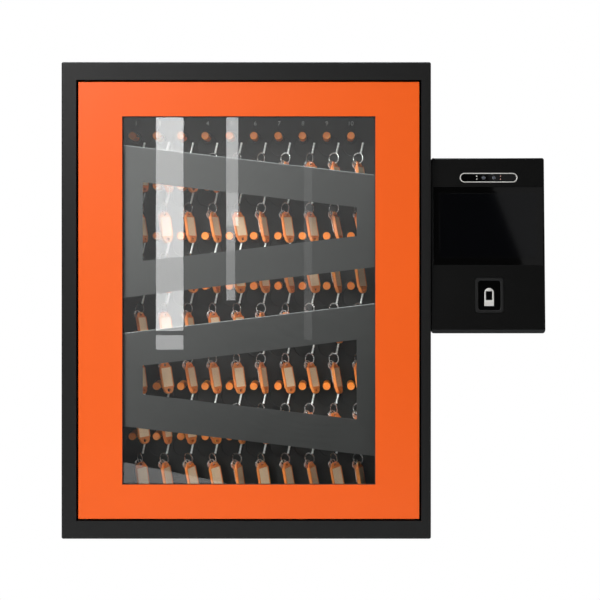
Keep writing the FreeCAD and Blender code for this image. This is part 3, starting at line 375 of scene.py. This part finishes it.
def refine(name, body, material, bevel=0.35, steps=2, angle=28, broad=None):
    """A CAD node with its flat faces joined up and its edges broken by a fine round. Edges that
    broad picks get a round of 3 mm."""
    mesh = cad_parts[name].data.copy()
    shape = bmesh.new()
    shape.from_mesh(mesh)
    bmesh.ops.remove_doubles(shape, verts=shape.verts, dist=2e-6)
    bmesh.ops.dissolve_limit(shape, angle_limit=math.radians(0.6), verts=shape.verts,
                             edges=shape.edges)
    if broad:
        edges = [edge for edge in shape.edges if broad(edge)]
        bmesh.ops.bevel(shape, geom=edges, offset=3 * MM, offset_type="OFFSET", segments=5,
                        profile=0.5, affect="EDGES")
    shape.to_mesh(mesh)
    shape.free()
    for layer in ("custom_normal", "sharp_edge", "sharp_face"):
        if layer in mesh.attributes:
            mesh.attributes.remove(mesh.attributes[layer])
    piece = bpy.data.objects.new(name, mesh)
    round_off = piece.modifiers.new("round", "BEVEL")
    round_off.width = bevel * MM
    round_off.segments = steps
    round_off.limit_method = "ANGLE"
    round_off.angle_limit = math.radians(angle)
    round_off.use_clamp_overlap = True
    return add(f"{name}_finished", smooth(baked(piece)), body, material, [name])


def lathe(profile, sides=40):
    """A solid turned about the Y axis from (radius, y) pairs in millimetres."""
    shape = bmesh.new()
    rings = []
    for radius, y in profile:
        turns = (2 * math.pi * i / sides for i in range(sides))
        ring = [shape.verts.new((radius * MM * math.cos(turn), y * MM,
                                 radius * MM * math.sin(turn))) for turn in turns]
        rings.append(ring)
    for one, two in zip(rings, rings[1:]):
        for i in range(sides):
            shape.faces.new((one[i], one[(i + 1) % sides], two[(i + 1) % sides], two[i]))
    if profile[0] != profile[-1]:
        shape.faces.new(rings[0])
        shape.faces.new(rings[-1])
    bmesh.ops.remove_doubles(shape, verts=shape.verts, dist=1e-7)
    bmesh.ops.recalc_face_normals(shape, faces=shape.faces)
    mesh = bpy.data.meshes.new("turned")
    shape.to_mesh(mesh)
    shape.free()
    return mesh


def tube(points, radius, sides=8, closed=False):
    """A round bar along points in millimetres."""
    points = [Vector(point) for point in points]
    count = len(points)
    shape = bmesh.new()
    rings = []
    normal = None
    for i, point in enumerate(points):
        ahead = points[(i + 1) % count] if closed else points[min(i + 1, count - 1)]
        behind = points[(i - 1) % count] if closed else points[max(i - 1, 0)]
        along = (ahead - behind).normalized()
        if normal is None:
            normal = along.orthogonal().normalized()
        normal = (normal - along * normal.dot(along)).normalized()
        across = along.cross(normal)
        ring = [
            shape.verts.new((point + (normal * math.cos(turn) + across * math.sin(turn)) * radius)
                            * MM)
            for turn in (2 * math.pi * k / sides for k in range(sides))
        ]
        rings.append(ring)
    pairs = list(zip(rings, rings[1:] + rings[:1])) if closed else list(zip(rings, rings[1:]))
    for one, two in pairs:
        for k in range(sides):
            shape.faces.new((one[k], one[(k + 1) % sides], two[(k + 1) % sides], two[k]))
    if not closed:
        shape.faces.new(rings[0])
        shape.faces.new(rings[-1])
    bmesh.ops.recalc_face_normals(shape, faces=shape.faces)
    mesh = bpy.data.meshes.new("tube")
    shape.to_mesh(mesh)
    shape.free()
    return mesh


def plate(loops, back, front, bevel=0.3, steps=2):
    """A flat shape in XZ from an outline and its holes, between two Y values, edges rounded.
    Lengths are in millimetres."""
    curve = bpy.data.curves.new("outline", "CURVE")
    curve.dimensions = "2D"
    curve.fill_mode = "BOTH"
    for loop in loops:
        spline = curve.splines.new("POLY")
        spline.points.add(len(loop) - 1)
        spline.use_cyclic_u = True
        for point, (x, z) in zip(spline.points, loop):
            point.co = (x * MM, z * MM, 0, 1)
    curve.extrude = ((back - front) / 2 - bevel) * MM
    curve.bevel_depth = bevel * MM
    curve.bevel_resolution = steps
    curve.offset = -bevel * MM
    mesh = baked(bpy.data.objects.new("outline", curve))
    # the curve lies in XY: stand it up, so that its depth runs along Y
    mesh.transform(Matrix.Translation((0, (back + front) / 2 * MM, 0))
                   @ Matrix.Rotation(math.radians(90), 4, "X"))
    shape = bmesh.new()
    shape.from_mesh(mesh)
    bmesh.ops.remove_doubles(shape, verts=shape.verts, dist=1e-6)
    bmesh.ops.recalc_face_normals(shape, faces=shape.faces)
    shape.to_mesh(mesh)
    shape.free()
    return mesh


def circle(x, z, radius, count=28):
    return [(x + radius * math.cos(2 * math.pi * i / count),
             z + radius * math.sin(2 * math.pi * i / count)) for i in range(count)]


def rounded(left, right, low, high, radius, count=6):
    """A rectangle with round corners."""
    corners = ((right - radius, high - radius, 0), (left + radius, high - radius, 90),
               (left + radius, low + radius, 180), (right - radius, low + radius, 270))
    return [(x + radius * math.cos(math.radians(start + 90 * i / count)),
             z + radius * math.sin(math.radians(start + 90 * i / count)))
            for x, z, start in corners for i in range(count + 1)]


def joined(meshes, places=(Matrix.Identity(4),), angle=32):
    """One mesh that holds every mesh at every place."""
    points, faces = [], []
    total = 0
    for mesh in meshes:
        count = len(mesh.vertices)
        flat = np.empty(count * 3)
        mesh.vertices.foreach_get("co", flat)
        flat = np.c_[flat.reshape(-1, 3), np.ones(count)]
        shapes = [tuple(face.vertices) for face in mesh.polygons]
        for placed in places:
            points.append(flat @ np.array(placed.transposed())[:, :3])
            faces += [tuple(i + total for i in face) for face in shapes]
            total += count
    whole = bpy.data.meshes.new("joined")
    whole.from_pydata(np.concatenate(points).tolist(), [], faces)
    whole.validate()
    return smooth(whole, angle)


# ---------------------------------------------------------------- where the keys hang

fob_low, fob_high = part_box("key_fob_01")
first_fob = (fob_low + fob_high) / 2
last_low, last_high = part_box("key_fob_10")
pitch_across = ((last_low + last_high) / 2 - first_fob).x / (COLUMNS - 1)
lowest_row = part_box("key_fobs")[0].z + (fob_high.z - fob_low.z) / 2
pitch_down = (first_fob.z - lowest_row) / (ROWS - 1)
panel_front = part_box("key_panel")[0].y
EYE_OUT, EYE_DROP = 28, 1.55
LOOP_RADIUS, LOOP_SHIFT, CRIMP_TURN, HALF_GAP = 17.5, 3.5, -12, 30
RING_RADIUS, RING_SHIFT, RING_DROP = 9, 11, 38.5
KEY_ANGLE, KEY_TWIST, KEY_SLACK = 46, 14, 0.3


def grid_place(column, row):
    """A fob's centre on the front of the key panel."""
    return Vector((first_fob.x + pitch_across * column, panel_front,
                   first_fob.z - pitch_down * row))


def turned(degrees, axis):
    return Matrix.Rotation(math.radians(degrees), 4, axis)


def shifted(x, y, z):
    return Matrix.Translation(Vector((x, y, z)) * MM)


def hanging_places(column, row):
    """Where the cable, the ring, the tag and the key of one set go."""
    turn = 53 + 16 * math.sin(2.4 * column + 1.7 * row * row)
    lean = 9.5 + 1.5 * math.sin(1.3 * column + 2.9 * row)
    tilt = 0 if row == ROWS - 1 else 8
    eye = Matrix.Translation(grid_place(column, row)) @ shifted(0, -EYE_OUT, -EYE_DROP)
    cable = eye @ turned(-tilt, "X")
    middle = Vector((RING_SHIFT, 0, EYE_DROP - RING_DROP))
    pivot = middle + Vector((0, 0, RING_RADIUS - 3))
    leaning = cable @ shifted(*pivot) @ turned(-lean, "Y") @ shifted(*-pivot)
    ring_turn = min(turn, 60)
    ring = leaning @ shifted(*middle) @ turned(ring_turn - 90, "Z")
    tag = leaning @ shifted(*(middle - Vector((0, 0, RING_RADIUS + 1.25)))) @ turned(turn, "Z")
    along = math.radians(KEY_ANGLE)
    way = turned(ring_turn, "Z") @ Vector((0, -1, 0)) * (-RING_RADIUS * math.sin(along))
    drop = Vector((0, 0, RING_RADIUS * math.cos(along) + KEY_SLACK))
    key = leaning @ shifted(*(middle + way - drop)) @ turned(ring_turn - KEY_TWIST, "Z")
    return cable, ring, tag, key


# ---------------------------------------------------------------- fobs, seals, rings, tags, keys

def fob_mesh():
    """A turned fob with a grip groove, a dished front and a cross hole for the cable."""
    profile = [(3.2, 24), (3.9, 23.2), (4, 22.4), (4, 20), (3.6, 19.6), (3.6, 18.4), (4, 18),
               (4, 14), (3.6, 13.6), (3.6, 12.4), (4, 12), (4, -3.2), (5.9, -3.25), (6.45, -3.8),
               (6.5, -4.4), (6.5, -7.2), (6.25, -7.5), (6.25, -8.2), (6.5, -8.5), (6.5, -33.9),
               (6.42, -34.35), (6.2, -34.7), (5.85, -34.95), (5.5, -35), (5.1, -34.95),
               (4.8, -34.72), (4.5, -34.62), (0.02, -34.5)]
    body = bpy.data.objects.new("fob", smooth(lathe(profile, 36)))
    collection.objects.link(body)
    drill_mesh = lathe([(3.1, -8), (2.6, -6.1), (2.55, -5.6), (2.55, 5.6), (2.6, 6.1), (3.1, 8)],
                       24)
    drill_mesh.transform(shifted(0, -EYE_OUT, -EYE_DROP) @ turned(90, "Z"))
    drill = bpy.data.objects.new("drill", drill_mesh)
    collection.objects.link(drill)
    hole = body.modifiers.new("eye", "BOOLEAN")
    hole.operation, hole.object, hole.solver = "DIFFERENCE", drill, "EXACT"
    mesh = baked(body)
    bpy.data.objects.remove(drill)
    return mesh


def contact_mesh():
    """The steel contact bands in the shank's two grooves."""
    bands = [lathe([(3.6, y + 1), (3.92, y + 0.8), (3.92, y - 0.8), (3.6, y - 1)], 36)
             for y in (19, 13)]
    return joined(bands)


def cable_mesh():
    """Three wires laid round one another, in the seal's open loop."""
    start, sweep, steps, lay = 14, 308, 112, 26
    wires = []
    for strand in range(3):
        points = []
        for i in range(steps + 1):
            angle = math.radians(start + sweep * i / steps)
            twist = 2 * math.pi * (lay * i / steps + strand / 3)
            radius = LOOP_RADIUS + 0.43 * math.cos(twist)
            points.append((LOOP_SHIFT + radius * math.cos(angle), 0.43 * math.sin(twist),
                           EYE_DROP - LOOP_RADIUS + radius * math.sin(angle)))
        wires.append(tube(points, 0.45, 6))
    return joined(wires, angle=60)


def crimp_mesh():
    """A ferrule with flared mouths, squeezed in three places."""
    half = LOOP_RADIUS * math.sin(math.radians(HALF_GAP)) + 0.6
    profile = [(1.25, half - 0.05), (1.55, half), (1.85, half - 0.25), (1.82, half - 0.8)]
    for middle in (5.2, 0, -5.2):
        profile += [(1.8, middle + 1.7), (1.55, middle + 1.2), (1.5, middle),
                    (1.55, middle - 1.2), (1.8, middle - 1.7)]
    profile += [(1.82, 0.8 - half), (1.85, 0.25 - half), (1.55, -half), (1.25, 0.05 - half)]
    mesh = lathe(profile, 20)
    angle = math.radians(CRIMP_TURN)
    reach = LOOP_RADIUS * math.cos(math.radians(HALF_GAP))
    mesh.transform(shifted(LOOP_SHIFT + reach * math.cos(angle), 0,
                           EYE_DROP - LOOP_RADIUS + reach * math.sin(angle))
                   @ turned(-CRIMP_TURN, "Y") @ turned(90, "X"))
    return smooth(mesh)


def ring_mesh():
    """A split ring: flat wire in two turns, with its ends standing apart."""
    steps, turns, deep, thick = 104, 2.06, 0.85, 0.4
    section = rounded(-deep, deep, -thick, thick, 0.28, 2)
    shape = bmesh.new()
    loops = []
    for i in range(steps + 1):
        part = i / steps
        angle = 2 * math.pi * turns * part + 0.9
        loops.append([shape.verts.new(((RING_RADIUS + across) * math.cos(angle) * MM,
                                       (0.45 * (1 - 2 * part) + along) * MM,
                                       (RING_RADIUS + across) * math.sin(angle) * MM))
                      for across, along in section])
    for one, two in zip(loops, loops[1:]):
        for k in range(len(one)):
            after = (k + 1) % len(one)
            shape.faces.new((one[k], one[after], two[after], two[k]))
    shape.faces.new(loops[0])
    shape.faces.new(loops[-1])
    bmesh.ops.recalc_face_normals(shape, faces=shape.faces)
    mesh = bpy.data.meshes.new("ring")
    shape.to_mesh(mesh)
    shape.free()
    return smooth(mesh, 50)


def tag_meshes():
    """A tag with a thin lug at the top, a raised rim and a round tail, and its paper label."""
    half, high, label_low, label_high = 10.5, 4, -37.4, -5
    tail = [(-half, -37), (-half + 0.3, -38.2), (-8.9, -39.6), (-8.6, -40.6)]
    tail += [(8.6 * math.cos(math.radians(a)), -40.6 + 8.35 * math.sin(math.radians(a)))
             for a in range(192, 349, 12)]
    tail += [(8.6, -40.6), (8.9, -39.6), (half - 0.3, -38.2), (half, -37)]
    shoulders = [(half, -5.2), (half - 0.5, -4.2), (6.4, 2.6), (5.6, 3.4), (4.4, high - 0.1),
                 (-4.4, high - 0.1), (-5.6, 3.4), (-6.4, 2.6), (0.5 - half, -4.2), (-half, -5.2)]
    outline = tail + shoulders
    block = tail + [(half, -5.2), (half - 0.6, -4.3), (half - 1.8, -3.6), (1.8 - half, -3.6),
                    (0.6 - half, -4.3), (-half, -5.2)]
    eyes = [circle(0, 0, 2.5, 20), circle(0, -43.3, 2.9, 20)]
    core = plate([outline, *eyes], 1.2, -1.2, 0.3)
    back = plate([block, eyes[1]], 2.75, 1.0, 0.45)
    front = plate([block, eyes[1]], -1.0, -2.15, 0.3)
    window = rounded(-9, 9, label_low, label_high, 1.2, 3)
    rim = plate([block, window, eyes[1]], -1.9, -2.75, 0.35)
    slots = plate([rounded(-8.6, 8.6, label_low + 0.4, label_high - 0.4, 0.8, 3)],
                  -2.1, -2.36, 0.08, 1)
    return joined([core, back, front, rim]), joined([slots])


def key_mesh():
    """A cylinder-lock key: rimmed bow, bitted blade and a milled way along it."""
    tip = -35.2
    bow = [(8 * math.cos(math.radians(a)), -3.2 + 8 * math.sin(math.radians(a)))
           for a in range(-63, 244, 9)]
    blade = [(-3.5, -11.2), (-3.5, tip + 3), (-0.8, tip), (1.2, tip), (3.5, tip + 3),
             (3.5, tip + 6), (1.9, tip + 7.5), (3.1, tip + 9.5), (1.5, tip + 12),
             (2.9, tip + 14.5), (3.5, tip + 17), (3.5, -11.2)]
    hole = circle(0, 0, 3.6, 24)
    core = plate([bow + blade, hole], 0.72, -0.72, 0.18)
    parts = [core]
    ring = [circle(0, -3.2, 7.9, 36), circle(0, -3.2, 7.1, 36)]
    collar = [circle(0, 0, 4.5, 24), circle(0, 0, 3.65, 24)]
    spine = [(-3.4, -12.6), (-3.4, tip + 3.4), (-1.5, tip + 1.4), (-1.2, -12.6)]
    teeth = [(0.3, -12.6), (0.3, tip + 1), (1.1, tip + 0.6), (3.3, tip + 3.2), (3.3, tip + 5.9),
             (1.7, tip + 7.5), (2.9, tip + 9.5), (1.3, tip + 12), (2.7, tip + 14.5),
             (3.3, tip + 17), (3.3, -12.6)]
    for side in (-1, 1):
        for loops in (ring, collar, [spine], [teeth]):
            back, front = sorted((side * 0.5, side * 0.98), reverse=True)
            parts.append(plate(loops, back, front, 0.14, 1))
    return joined(parts)


def bezel_mesh():
    """A receptor bezel: a turned collar with a step and a broken edge."""
    return smooth(lathe([(4.3, 0), (10, 0), (10, -1.7), (9.85, -2.1), (9.2, -2.75), (8.7, -3),
                         (6.9, -3), (6.7, -2.8), (6.5, -2.3), (5.2, -2.3), (4.9, -2.6),
                         (4.5, -2.5), (4.3, -2.2), (4.3, 0)], 40))


def add_keys():
    fob, contacts, cable, crimp, ring = (fob_mesh(), contact_mesh(), cable_mesh(), crimp_mesh(),
                                         ring_mesh())
    tag, label = tag_meshes()
    key = key_mesh()
    fixed = {"fob": [], "cable": [], "ring": [], "tag": [], "key": []}
    for row in range(ROWS):
        for column in range(COLUMNS):
            fob_place = Matrix.Translation(grid_place(column, row))
            cable_place, ring_place, tag_place, key_place = hanging_places(column, row)
            if row:
                for name, placed in (("fob", fob_place), ("cable", cable_place),
                                     ("ring", ring_place), ("tag", tag_place),
                                     ("key", key_place)):
                    fixed[name].append(placed)
                continue
            number = f"{column + 1:02d}"
            fob_body, set_body = f"key_fob_{number}", f"key_set_{number}"
            add(f"fob_{number}", joined([fob], [fob_place]), fob_body,
                fob_plastic, [fob_body])
            add(f"fob_contacts_{number}", joined([contacts], [fob_place]), fob_body,
                contact_steel)
            for name, mesh, placed, material in (
                    ("cable", cable, cable_place, cable_steel),
                    ("crimp", crimp, cable_place, crimp_metal),
                    ("ring", ring, ring_place, ring_steel), ("tag", tag, tag_place, tag_plastic),
                    ("label", label, tag_place, label_paper), ("key", key, key_place, key_nickel)):
                add(f"{name}_{number}", joined([mesh], [placed]), set_body,
                    material, [set_body])
    for name, mesh, places, slot, material, nodes in (
            ("fobs", fob, "fob", "fob_plastic", fob_plastic, ["key_fobs"]),
            ("fob_contacts", contacts, "fob", "fob_plastic", contact_steel, []),
            ("cables", cable, "cable", "seal_cable", cable_steel, ["key_seals"]),
            ("crimps", crimp, "cable", "seal_cable", crimp_metal, ["key_seals"]),
            ("rings", ring, "ring", "ring_steel", ring_steel, ["key_rings"]),
            ("tags", tag, "tag", "tag_plastic", tag_plastic, ["key_tags"]),
            ("labels", label, "tag", "tag_plastic", label_paper, ["key_tags"]),
            ("keys_hanging", key, "key", "key_nickel", key_nickel, ["keys"])):
        add(name, joined([mesh], fixed[places]), "cabinet", material, nodes)
    bezel_places = [Matrix.Translation(grid_place(column, row))
                    for row in range(ROWS) for column in range(COLUMNS)]
    add("bezels", joined([bezel_mesh()], bezel_places), "cabinet",
        black_plastic, ["receptor_bezels"])


def add_numbers():
    """The column numbers printed on the key panel above the top row."""
    meshes = []
    for column in range(COLUMNS):
        text = bpy.data.curves.new("number", "FONT")
        text.body = str(column + 1)
        text.align_x = "CENTER"
        text.size = 10.5 * MM
        text.extrude = 0.04 * MM
        mesh = baked(bpy.data.objects.new("number", text))
        spot = grid_place(column, 0) + Vector((0, -0.06 * MM, 21.5 * MM))
        mesh.transform(Matrix.Translation(spot) @ turned(90, "X"))
        meshes.append(mesh)
    add("column_numbers", joined(meshes), "cabinet", print_white)


# ---------------------------------------------------------------- steel body and door

def outline_of(node):
    """A node's box from the front, as left, right, low and high, in millimetres."""
    low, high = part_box(node)
    return low.x / MM, high.x / MM, low.z / MM, high.z / MM


def grown(rect, by):
    return rect[0] - by, rect[1] + by, rect[2] - by, rect[3] + by


def folded_frame(profile, cutters=()):
    """A frame folded from sheet, from its cross-section: (rectangle, distance out, corner
    radius) round the section. Cutters are meshes taken out of it."""
    shape = bmesh.new()
    loops = []
    for rect, out, radius in profile:
        loops.append([shape.verts.new((x * MM, -out * MM, z * MM))
                      for x, z in rounded(*rect, max(radius, 0.05), 5)])
    for one, two in zip(loops, loops[1:] + loops[:1]):
        for i in range(len(one)):
            after = (i + 1) % len(one)
            shape.faces.new((one[i], one[after], two[after], two[i]))
    bmesh.ops.recalc_face_normals(shape, faces=shape.faces)
    mesh = bpy.data.meshes.new("frame")
    shape.to_mesh(mesh)
    shape.free()
    piece = bpy.data.objects.new("frame", mesh)
    tools = []
    for cutter in cutters:
        tool = bpy.data.objects.new("cutter", cutter)
        collection.objects.link(tool)
        tools.append(tool)
        hole = piece.modifiers.new("hole", "BOOLEAN")
        hole.operation, hole.object, hole.solver = "DIFFERENCE", tool, "EXACT"
    mesh = baked(piece)
    for tool in tools:
        bpy.data.objects.remove(tool)
    return smooth(mesh)


def bar(x, out, z):
    """A plain block between pairs of limits, used to cut with."""
    mesh = bpy.data.meshes.new("bar")
    shape = bmesh.new()
    bmesh.ops.create_cube(shape, size=1)
    shape.to_mesh(mesh)
    shape.free()
    size = Vector((x[1] - x[0], out[1] - out[0], z[1] - z[0])) * MM
    middle = Vector((x[0] + x[1], -(out[0] + out[1]), z[0] + z[1])) * MM / 2
    mesh.transform(Matrix.Translation(middle) @ Matrix.Diagonal((*size, 1)))
    return mesh


SHEET, LIP_RADIUS, EDGE = 1.5, 3, 0.3


def add_folded_frames():
    body = outline_of("carcass")
    jamb = outline_of("door_jamb")
    opening = grown(jamb, -SHEET)
    inner, flange = grown(body, -SHEET), grown(body, -SHEET - 15)
    depth = -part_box("carcass")[0].y / MM
    front = [(grown(opening, EDGE), depth, 0), (grown(body, -LIP_RADIUS), depth, 0)]
    for step in range(1, 6):
        turn = math.radians(18 * step)
        inset = LIP_RADIUS * (1 - math.sin(turn))
        front.append((grown(body, -inset), depth - LIP_RADIUS * (1 - math.cos(turn)),
                      LIP_RADIUS - inset))
    profile = [(opening, depth - SHEET, 0), (opening, depth - EDGE, 0), *front,
               (body, EDGE, LIP_RADIUS), (grown(body, -EDGE), 0, LIP_RADIUS - EDGE),
               (inner, 0, LIP_RADIUS - SHEET), (inner, SHEET, LIP_RADIUS - SHEET),
               (flange, SHEET, 0), (flange, SHEET * 2, 0), (inner, SHEET * 2, 1.5),
               (inner, depth - SHEET, 1.5)]
    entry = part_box("cable_grommet")
    entry_mesh = lathe([(12, -12), (12, 12)], 32)
    entry_mesh.transform(Matrix.Translation(((entry[0].x + entry[1].x) / 2,
                                             (entry[0].y + entry[1].y) / 2, body[2] * MM))
                         @ turned(90, "X"))
    add("carcass_folded", folded_frame(profile, [entry_mesh]), "cabinet",
        body_paint, ["carcass"])

    stop_back = -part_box("door_jamb")[1].y / MM
    stop = grown(opening, -14)
    wall_front = depth - SHEET
    add("door_jamb_folded", folded_frame([
        (jamb, stop_back, 1.5), (jamb, wall_front, 1.5), (opening, wall_front, 0.4),
        (opening, stop_back + SHEET + EDGE, 0.4), (grown(opening, -EDGE), stop_back + SHEET, 0.4),
        (grown(stop, EDGE), stop_back + SHEET, 0.4), (stop, stop_back + SHEET - EDGE, 0.4),
        (stop, stop_back + EDGE, 0.4), (grown(stop, EDGE), stop_back, 0.4)]),
        "cabinet", body_paint, ["door_jamb"])

    lining = outline_of("door_lining")
    low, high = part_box("door_lining")
    back, collar_front = -high.y / MM, -low.y / MM
    gauge, clear = 1.2, grown(outline_of("glass_gasket"), 5.4 - 13)
    sheet_front = back + gauge
    collar = grown(clear, gauge)
    notches = [bar((lining[0] - 1, lining[0] + 16.1), (back - 1, sheet_front + 1), ends)
               for ends in ((lining[2] - 1, lining[2] + 15), (lining[3] - 15, lining[3] + 1))]
    add("door_lining_folded", folded_frame([
        (lining, back, 0.5), (lining, sheet_front, 0.5), (collar, sheet_front, 1.5),
        (collar, collar_front, 1.5), (clear, collar_front, 0.6), (clear, back + 0.8, 0.6),
        (grown(clear, 0.25), back + 0.2, 0.8), (grown(clear, 0.8), back, 1.2)], notches),
        "door", lining_paint, ["door_lining"])


def add_cabinet():
    add_folded_frames()
    for name, slot, material, bevel in (
            ("back_plate", "back_steel", back_steel, 0.3),
            ("door_seal", "seal_rubber", seal_rubber, 0.8),
            ("hinge_pins", "hard_steel", pin_steel, 0.4),
            ("cable_grommet", "seal_rubber", seal_rubber, 0.6),
            ("key_panel", "panel_paint", panel_paint, 0.3),
            ("receptor_rails", "black_plastic", black_plastic, 0.5),
            ("controller_board", "circuit_board", circuit_board, 0.15),
            ("power_supply", "supply_case", supply_case, 0.3),
            ("backup_battery", "black_plastic", black_plastic, 1.0),
            ("lock_body", "black_plastic", black_plastic, 0.6),
            ("cabinet_screws", "hard_steel", hard_steel, 0.15)):
        refine(name, "cabinet", material, bevel)
    refine("latch_bolt", "latch_bolt", hard_steel, 0.4)


def add_door():
    for name, slot, material, bevel in (
            ("door_skin", "door_paint", door_paint, 0.3),
            ("window_glass", "window_glass", pane, 0.4),
            ("glass_gasket", "seal_rubber", seal_rubber, 0.25),
            ("glass_retainer", "clamp_aluminium", clamp_aluminium, 0.3),
            ("lock_keeper", "hard_steel", hard_steel, 0.3),
            ("hinge_bushes", "bush_brass", bush_brass, 0.2),
            ("door_screws", "hard_steel", hard_steel, 0.15)):
        refine(name, "door", material, bevel)
    refine("privacy_bands", "door", film, 0.05, 1)
    add_painted_film_highlights()


# height of each film band's upper edge at the left and the right, and of the painted highlight
# line along it
BAND_TOPS, BAND_LINE = ((248.8, 200.8), (-53.6, -5.6)), 0.8


def add_painted_film_highlights():
    """Painted highlights along the cut upper edges of the two film bands: pale strips that stand
    in for the light these edges catch.
    """
    film_low, film_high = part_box("privacy_bands")
    left, right = film_low.x / MM, film_high.x / MM
    out = -film_low.y / MM
    meshes = []
    for start, end in BAND_TOPS:
        meshes.append(plate([[(left, start), (right, end), (right, end + BAND_LINE),
                              (left, start + BAND_LINE)]], 0.28 - out, 0.02 - out, 0.02, 1))
    add("painted_film_highlights", joined(meshes), "door", painted_film_highlight)


# ---------------------------------------------------------------- terminal

def add_terminal():
    for name, slot, material, bevel in (
            ("terminal_shell", "black_plastic", terminal_plastic, 0.8),
            ("display_panel", "screen", screen_lit_area, 0.2),
            ("camera_ring", "bright_trim", bright_trim, 0.25),
            ("camera_window", "screen_glass", screen_black, 0.15),
            ("reader_window", "screen_glass", screen_black, 0.15),
            ("terminal_board", "circuit_board", circuit_board, 0.1)):
        refine(name, "cabinet", material, bevel)
    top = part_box("terminal_cover")[1].z
    cover_front = (face_place() @ Vector((0, 0, FACE_REACH * MM))).y

    def upper_front(edge):
        return all(vert.co.z > top - 1.5 * MM and vert.co.y < cover_front + 1 * MM
                   for vert in edge.verts) and edge.calc_length() > 150 * MM

    refine("terminal_cover", "cabinet", terminal_plastic, 0.4,
           broad=upper_front)
    add_touch_glass()
    add_camera_eyes()
    add_reader()


# the terminal's front face: how far out and how high its middle is, its lean in degrees, and
# its reach from the middle to the top
FACE_OUT, FACE_LEVEL, FACE_TILT, FACE_REACH = 189, 88.2, 2.45, 141


def face_place():
    """The middle of the terminal's leaning front face."""
    low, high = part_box("terminal_cover")
    middle = Vector(((low.x + high.x) / 2, -FACE_OUT * MM, FACE_LEVEL * MM))
    return Matrix.Translation(middle) @ turned(-FACE_TILT, "X")


def add_face_piece(name, meshes, material, nodes=(), angle=32):
    add(name, joined(meshes, [face_place()], angle), "cabinet", material, nodes)


def add_touch_glass():
    """One pane with a black border printed round the area that shows the display."""
    border = rounded(-88.2, 88.2, -31.8, 94.5, 0.6, 2)
    shown = rounded(-78.2, 78.2, -19.4, 84, 0.8, 2)
    add_face_piece("touch_glass_border", [plate([border, shown], 2, 0.2, 0.2)],
                   screen_black, ["touch_glass"])
    add_face_piece("touch_glass_display",
                   [plate([rounded(-78.15, 78.15, -19.35, 83.95, 0.8, 2)], 2, 0.2, 0.02, 1)],
                   screen_lit_area, ["touch_glass"])


def dome(x, z, radius, back, front):
    """A turned lens or lamp that swells towards the front."""
    rise = min(0.7, radius * 0.3)
    profile = [(radius, back), (radius, front + rise), (radius * 0.94, front + rise * 0.62),
               (radius * 0.75, front + rise * 0.3), (radius * 0.45, front + rise * 0.08),
               (0.02, front)]
    mesh = lathe(profile, 28)
    mesh.transform(shifted(x, 0, z))
    return mesh


def add_camera_eyes():
    middle, level = 1.6, 109.6
    add_face_piece("camera_lenses_domed",
                   [dome(middle - 8.3, level, 3, 2.6, 0.3),
                    dome(middle + 8.3, level, 2.7, 2.6, 0.3)],
                   lens_glass, ["camera_lenses"])
    add_face_piece("camera_lens_rims",
                   [ring_at(middle - 8.3, level, 3), ring_at(middle + 8.3, level, 2.7)],
                   lens_rim)
    for name, side, material in (("left", -1, lamp_white), ("right", 1, lamp_rose)):
        add_face_piece(f"camera_lamps_{name}",
                       [dome(middle + side * 19.2, level + end * 2.4, 0.88, 2.6, 0.3)
                        for end in (-1, 1)], material, ["camera_lenses"])


def ring_at(x, z, radius):
    """A slim ring round a lens."""
    mesh = lathe([(radius - 0.6, 0.5), (radius - 0.5, 0.36), (radius - 0.2, 0.3),
                  (radius - 0.06, 0.4), (radius - 0.06, 0.9), (radius - 0.6, 0.9),
                  (radius - 0.6, 0.5)], 32)
    mesh.transform(shifted(x, 0, z))
    return mesh


def add_reader():
    """The fingerprint reader: a dished surround, and a bright arch with a ledge at its foot."""
    middle, level = 1.7, -80.2
    outer = rounded(middle - 23.1, middle + 23.1, level - 28.6, level + 28.6, 5.8, 8)
    inner = rounded(middle - 18, middle + 18, level - 24, level + 24, 4.5, 8)
    arch_middle, foot, top = 1.2, -97.5, -68.5
    arch_left, arch_right = arch_middle - 7.7, arch_middle + 7.7

    def arch_top(half_width, rise):
        return [(arch_middle + half_width * math.cos(math.radians(a)),
                 top - 7.5 + rise * math.sin(math.radians(a))) for a in range(0, 181, 12)]

    arch = [(arch_left, foot), (arch_right, foot)] + arch_top(7.7, 7.5)
    well = rounded(middle - 18.4, middle + 18.4, level - 24.4, level + 24.4, 4.8, 8)
    add_face_piece("reader_surround", [plate([outer, inner], 2.6, 1.2, 0.6, 3)],
                   surround_plastic, ["reader_bezel"])
    add_face_piece("reader_well", [plate([well, arch], 2.6, 1.95, 0.1, 1)],
                   screen_black, ["reader_bezel"])
    body = [(arch_left + 0.1, foot + 0.1), (arch_right - 0.1, foot + 0.1)] + arch_top(7.6, 7.4)
    sensor = rounded(1.1 - 5.2, 1.1 + 5.2, -88, -73.6, 0.8, 2)
    ledge = rounded(arch_left + 0.5, arch_right - 0.5, foot + 0.5, -90.6, 0.5, 2)
    add_face_piece("reader_arch_rounded", [plate([body, sensor], 2.6, 0.7, 0.4, 3),
                                           plate([ledge], 1.4, 0.2, 0.4, 3)],
                   bright_trim, ["reader_arch"])


add_camera()
add_world()
add_floor()
add_lights()
add_cabinet()
add_door()
add_terminal()
add_keys()
add_numbers()
scene.view_settings.view_transform = "Standard"
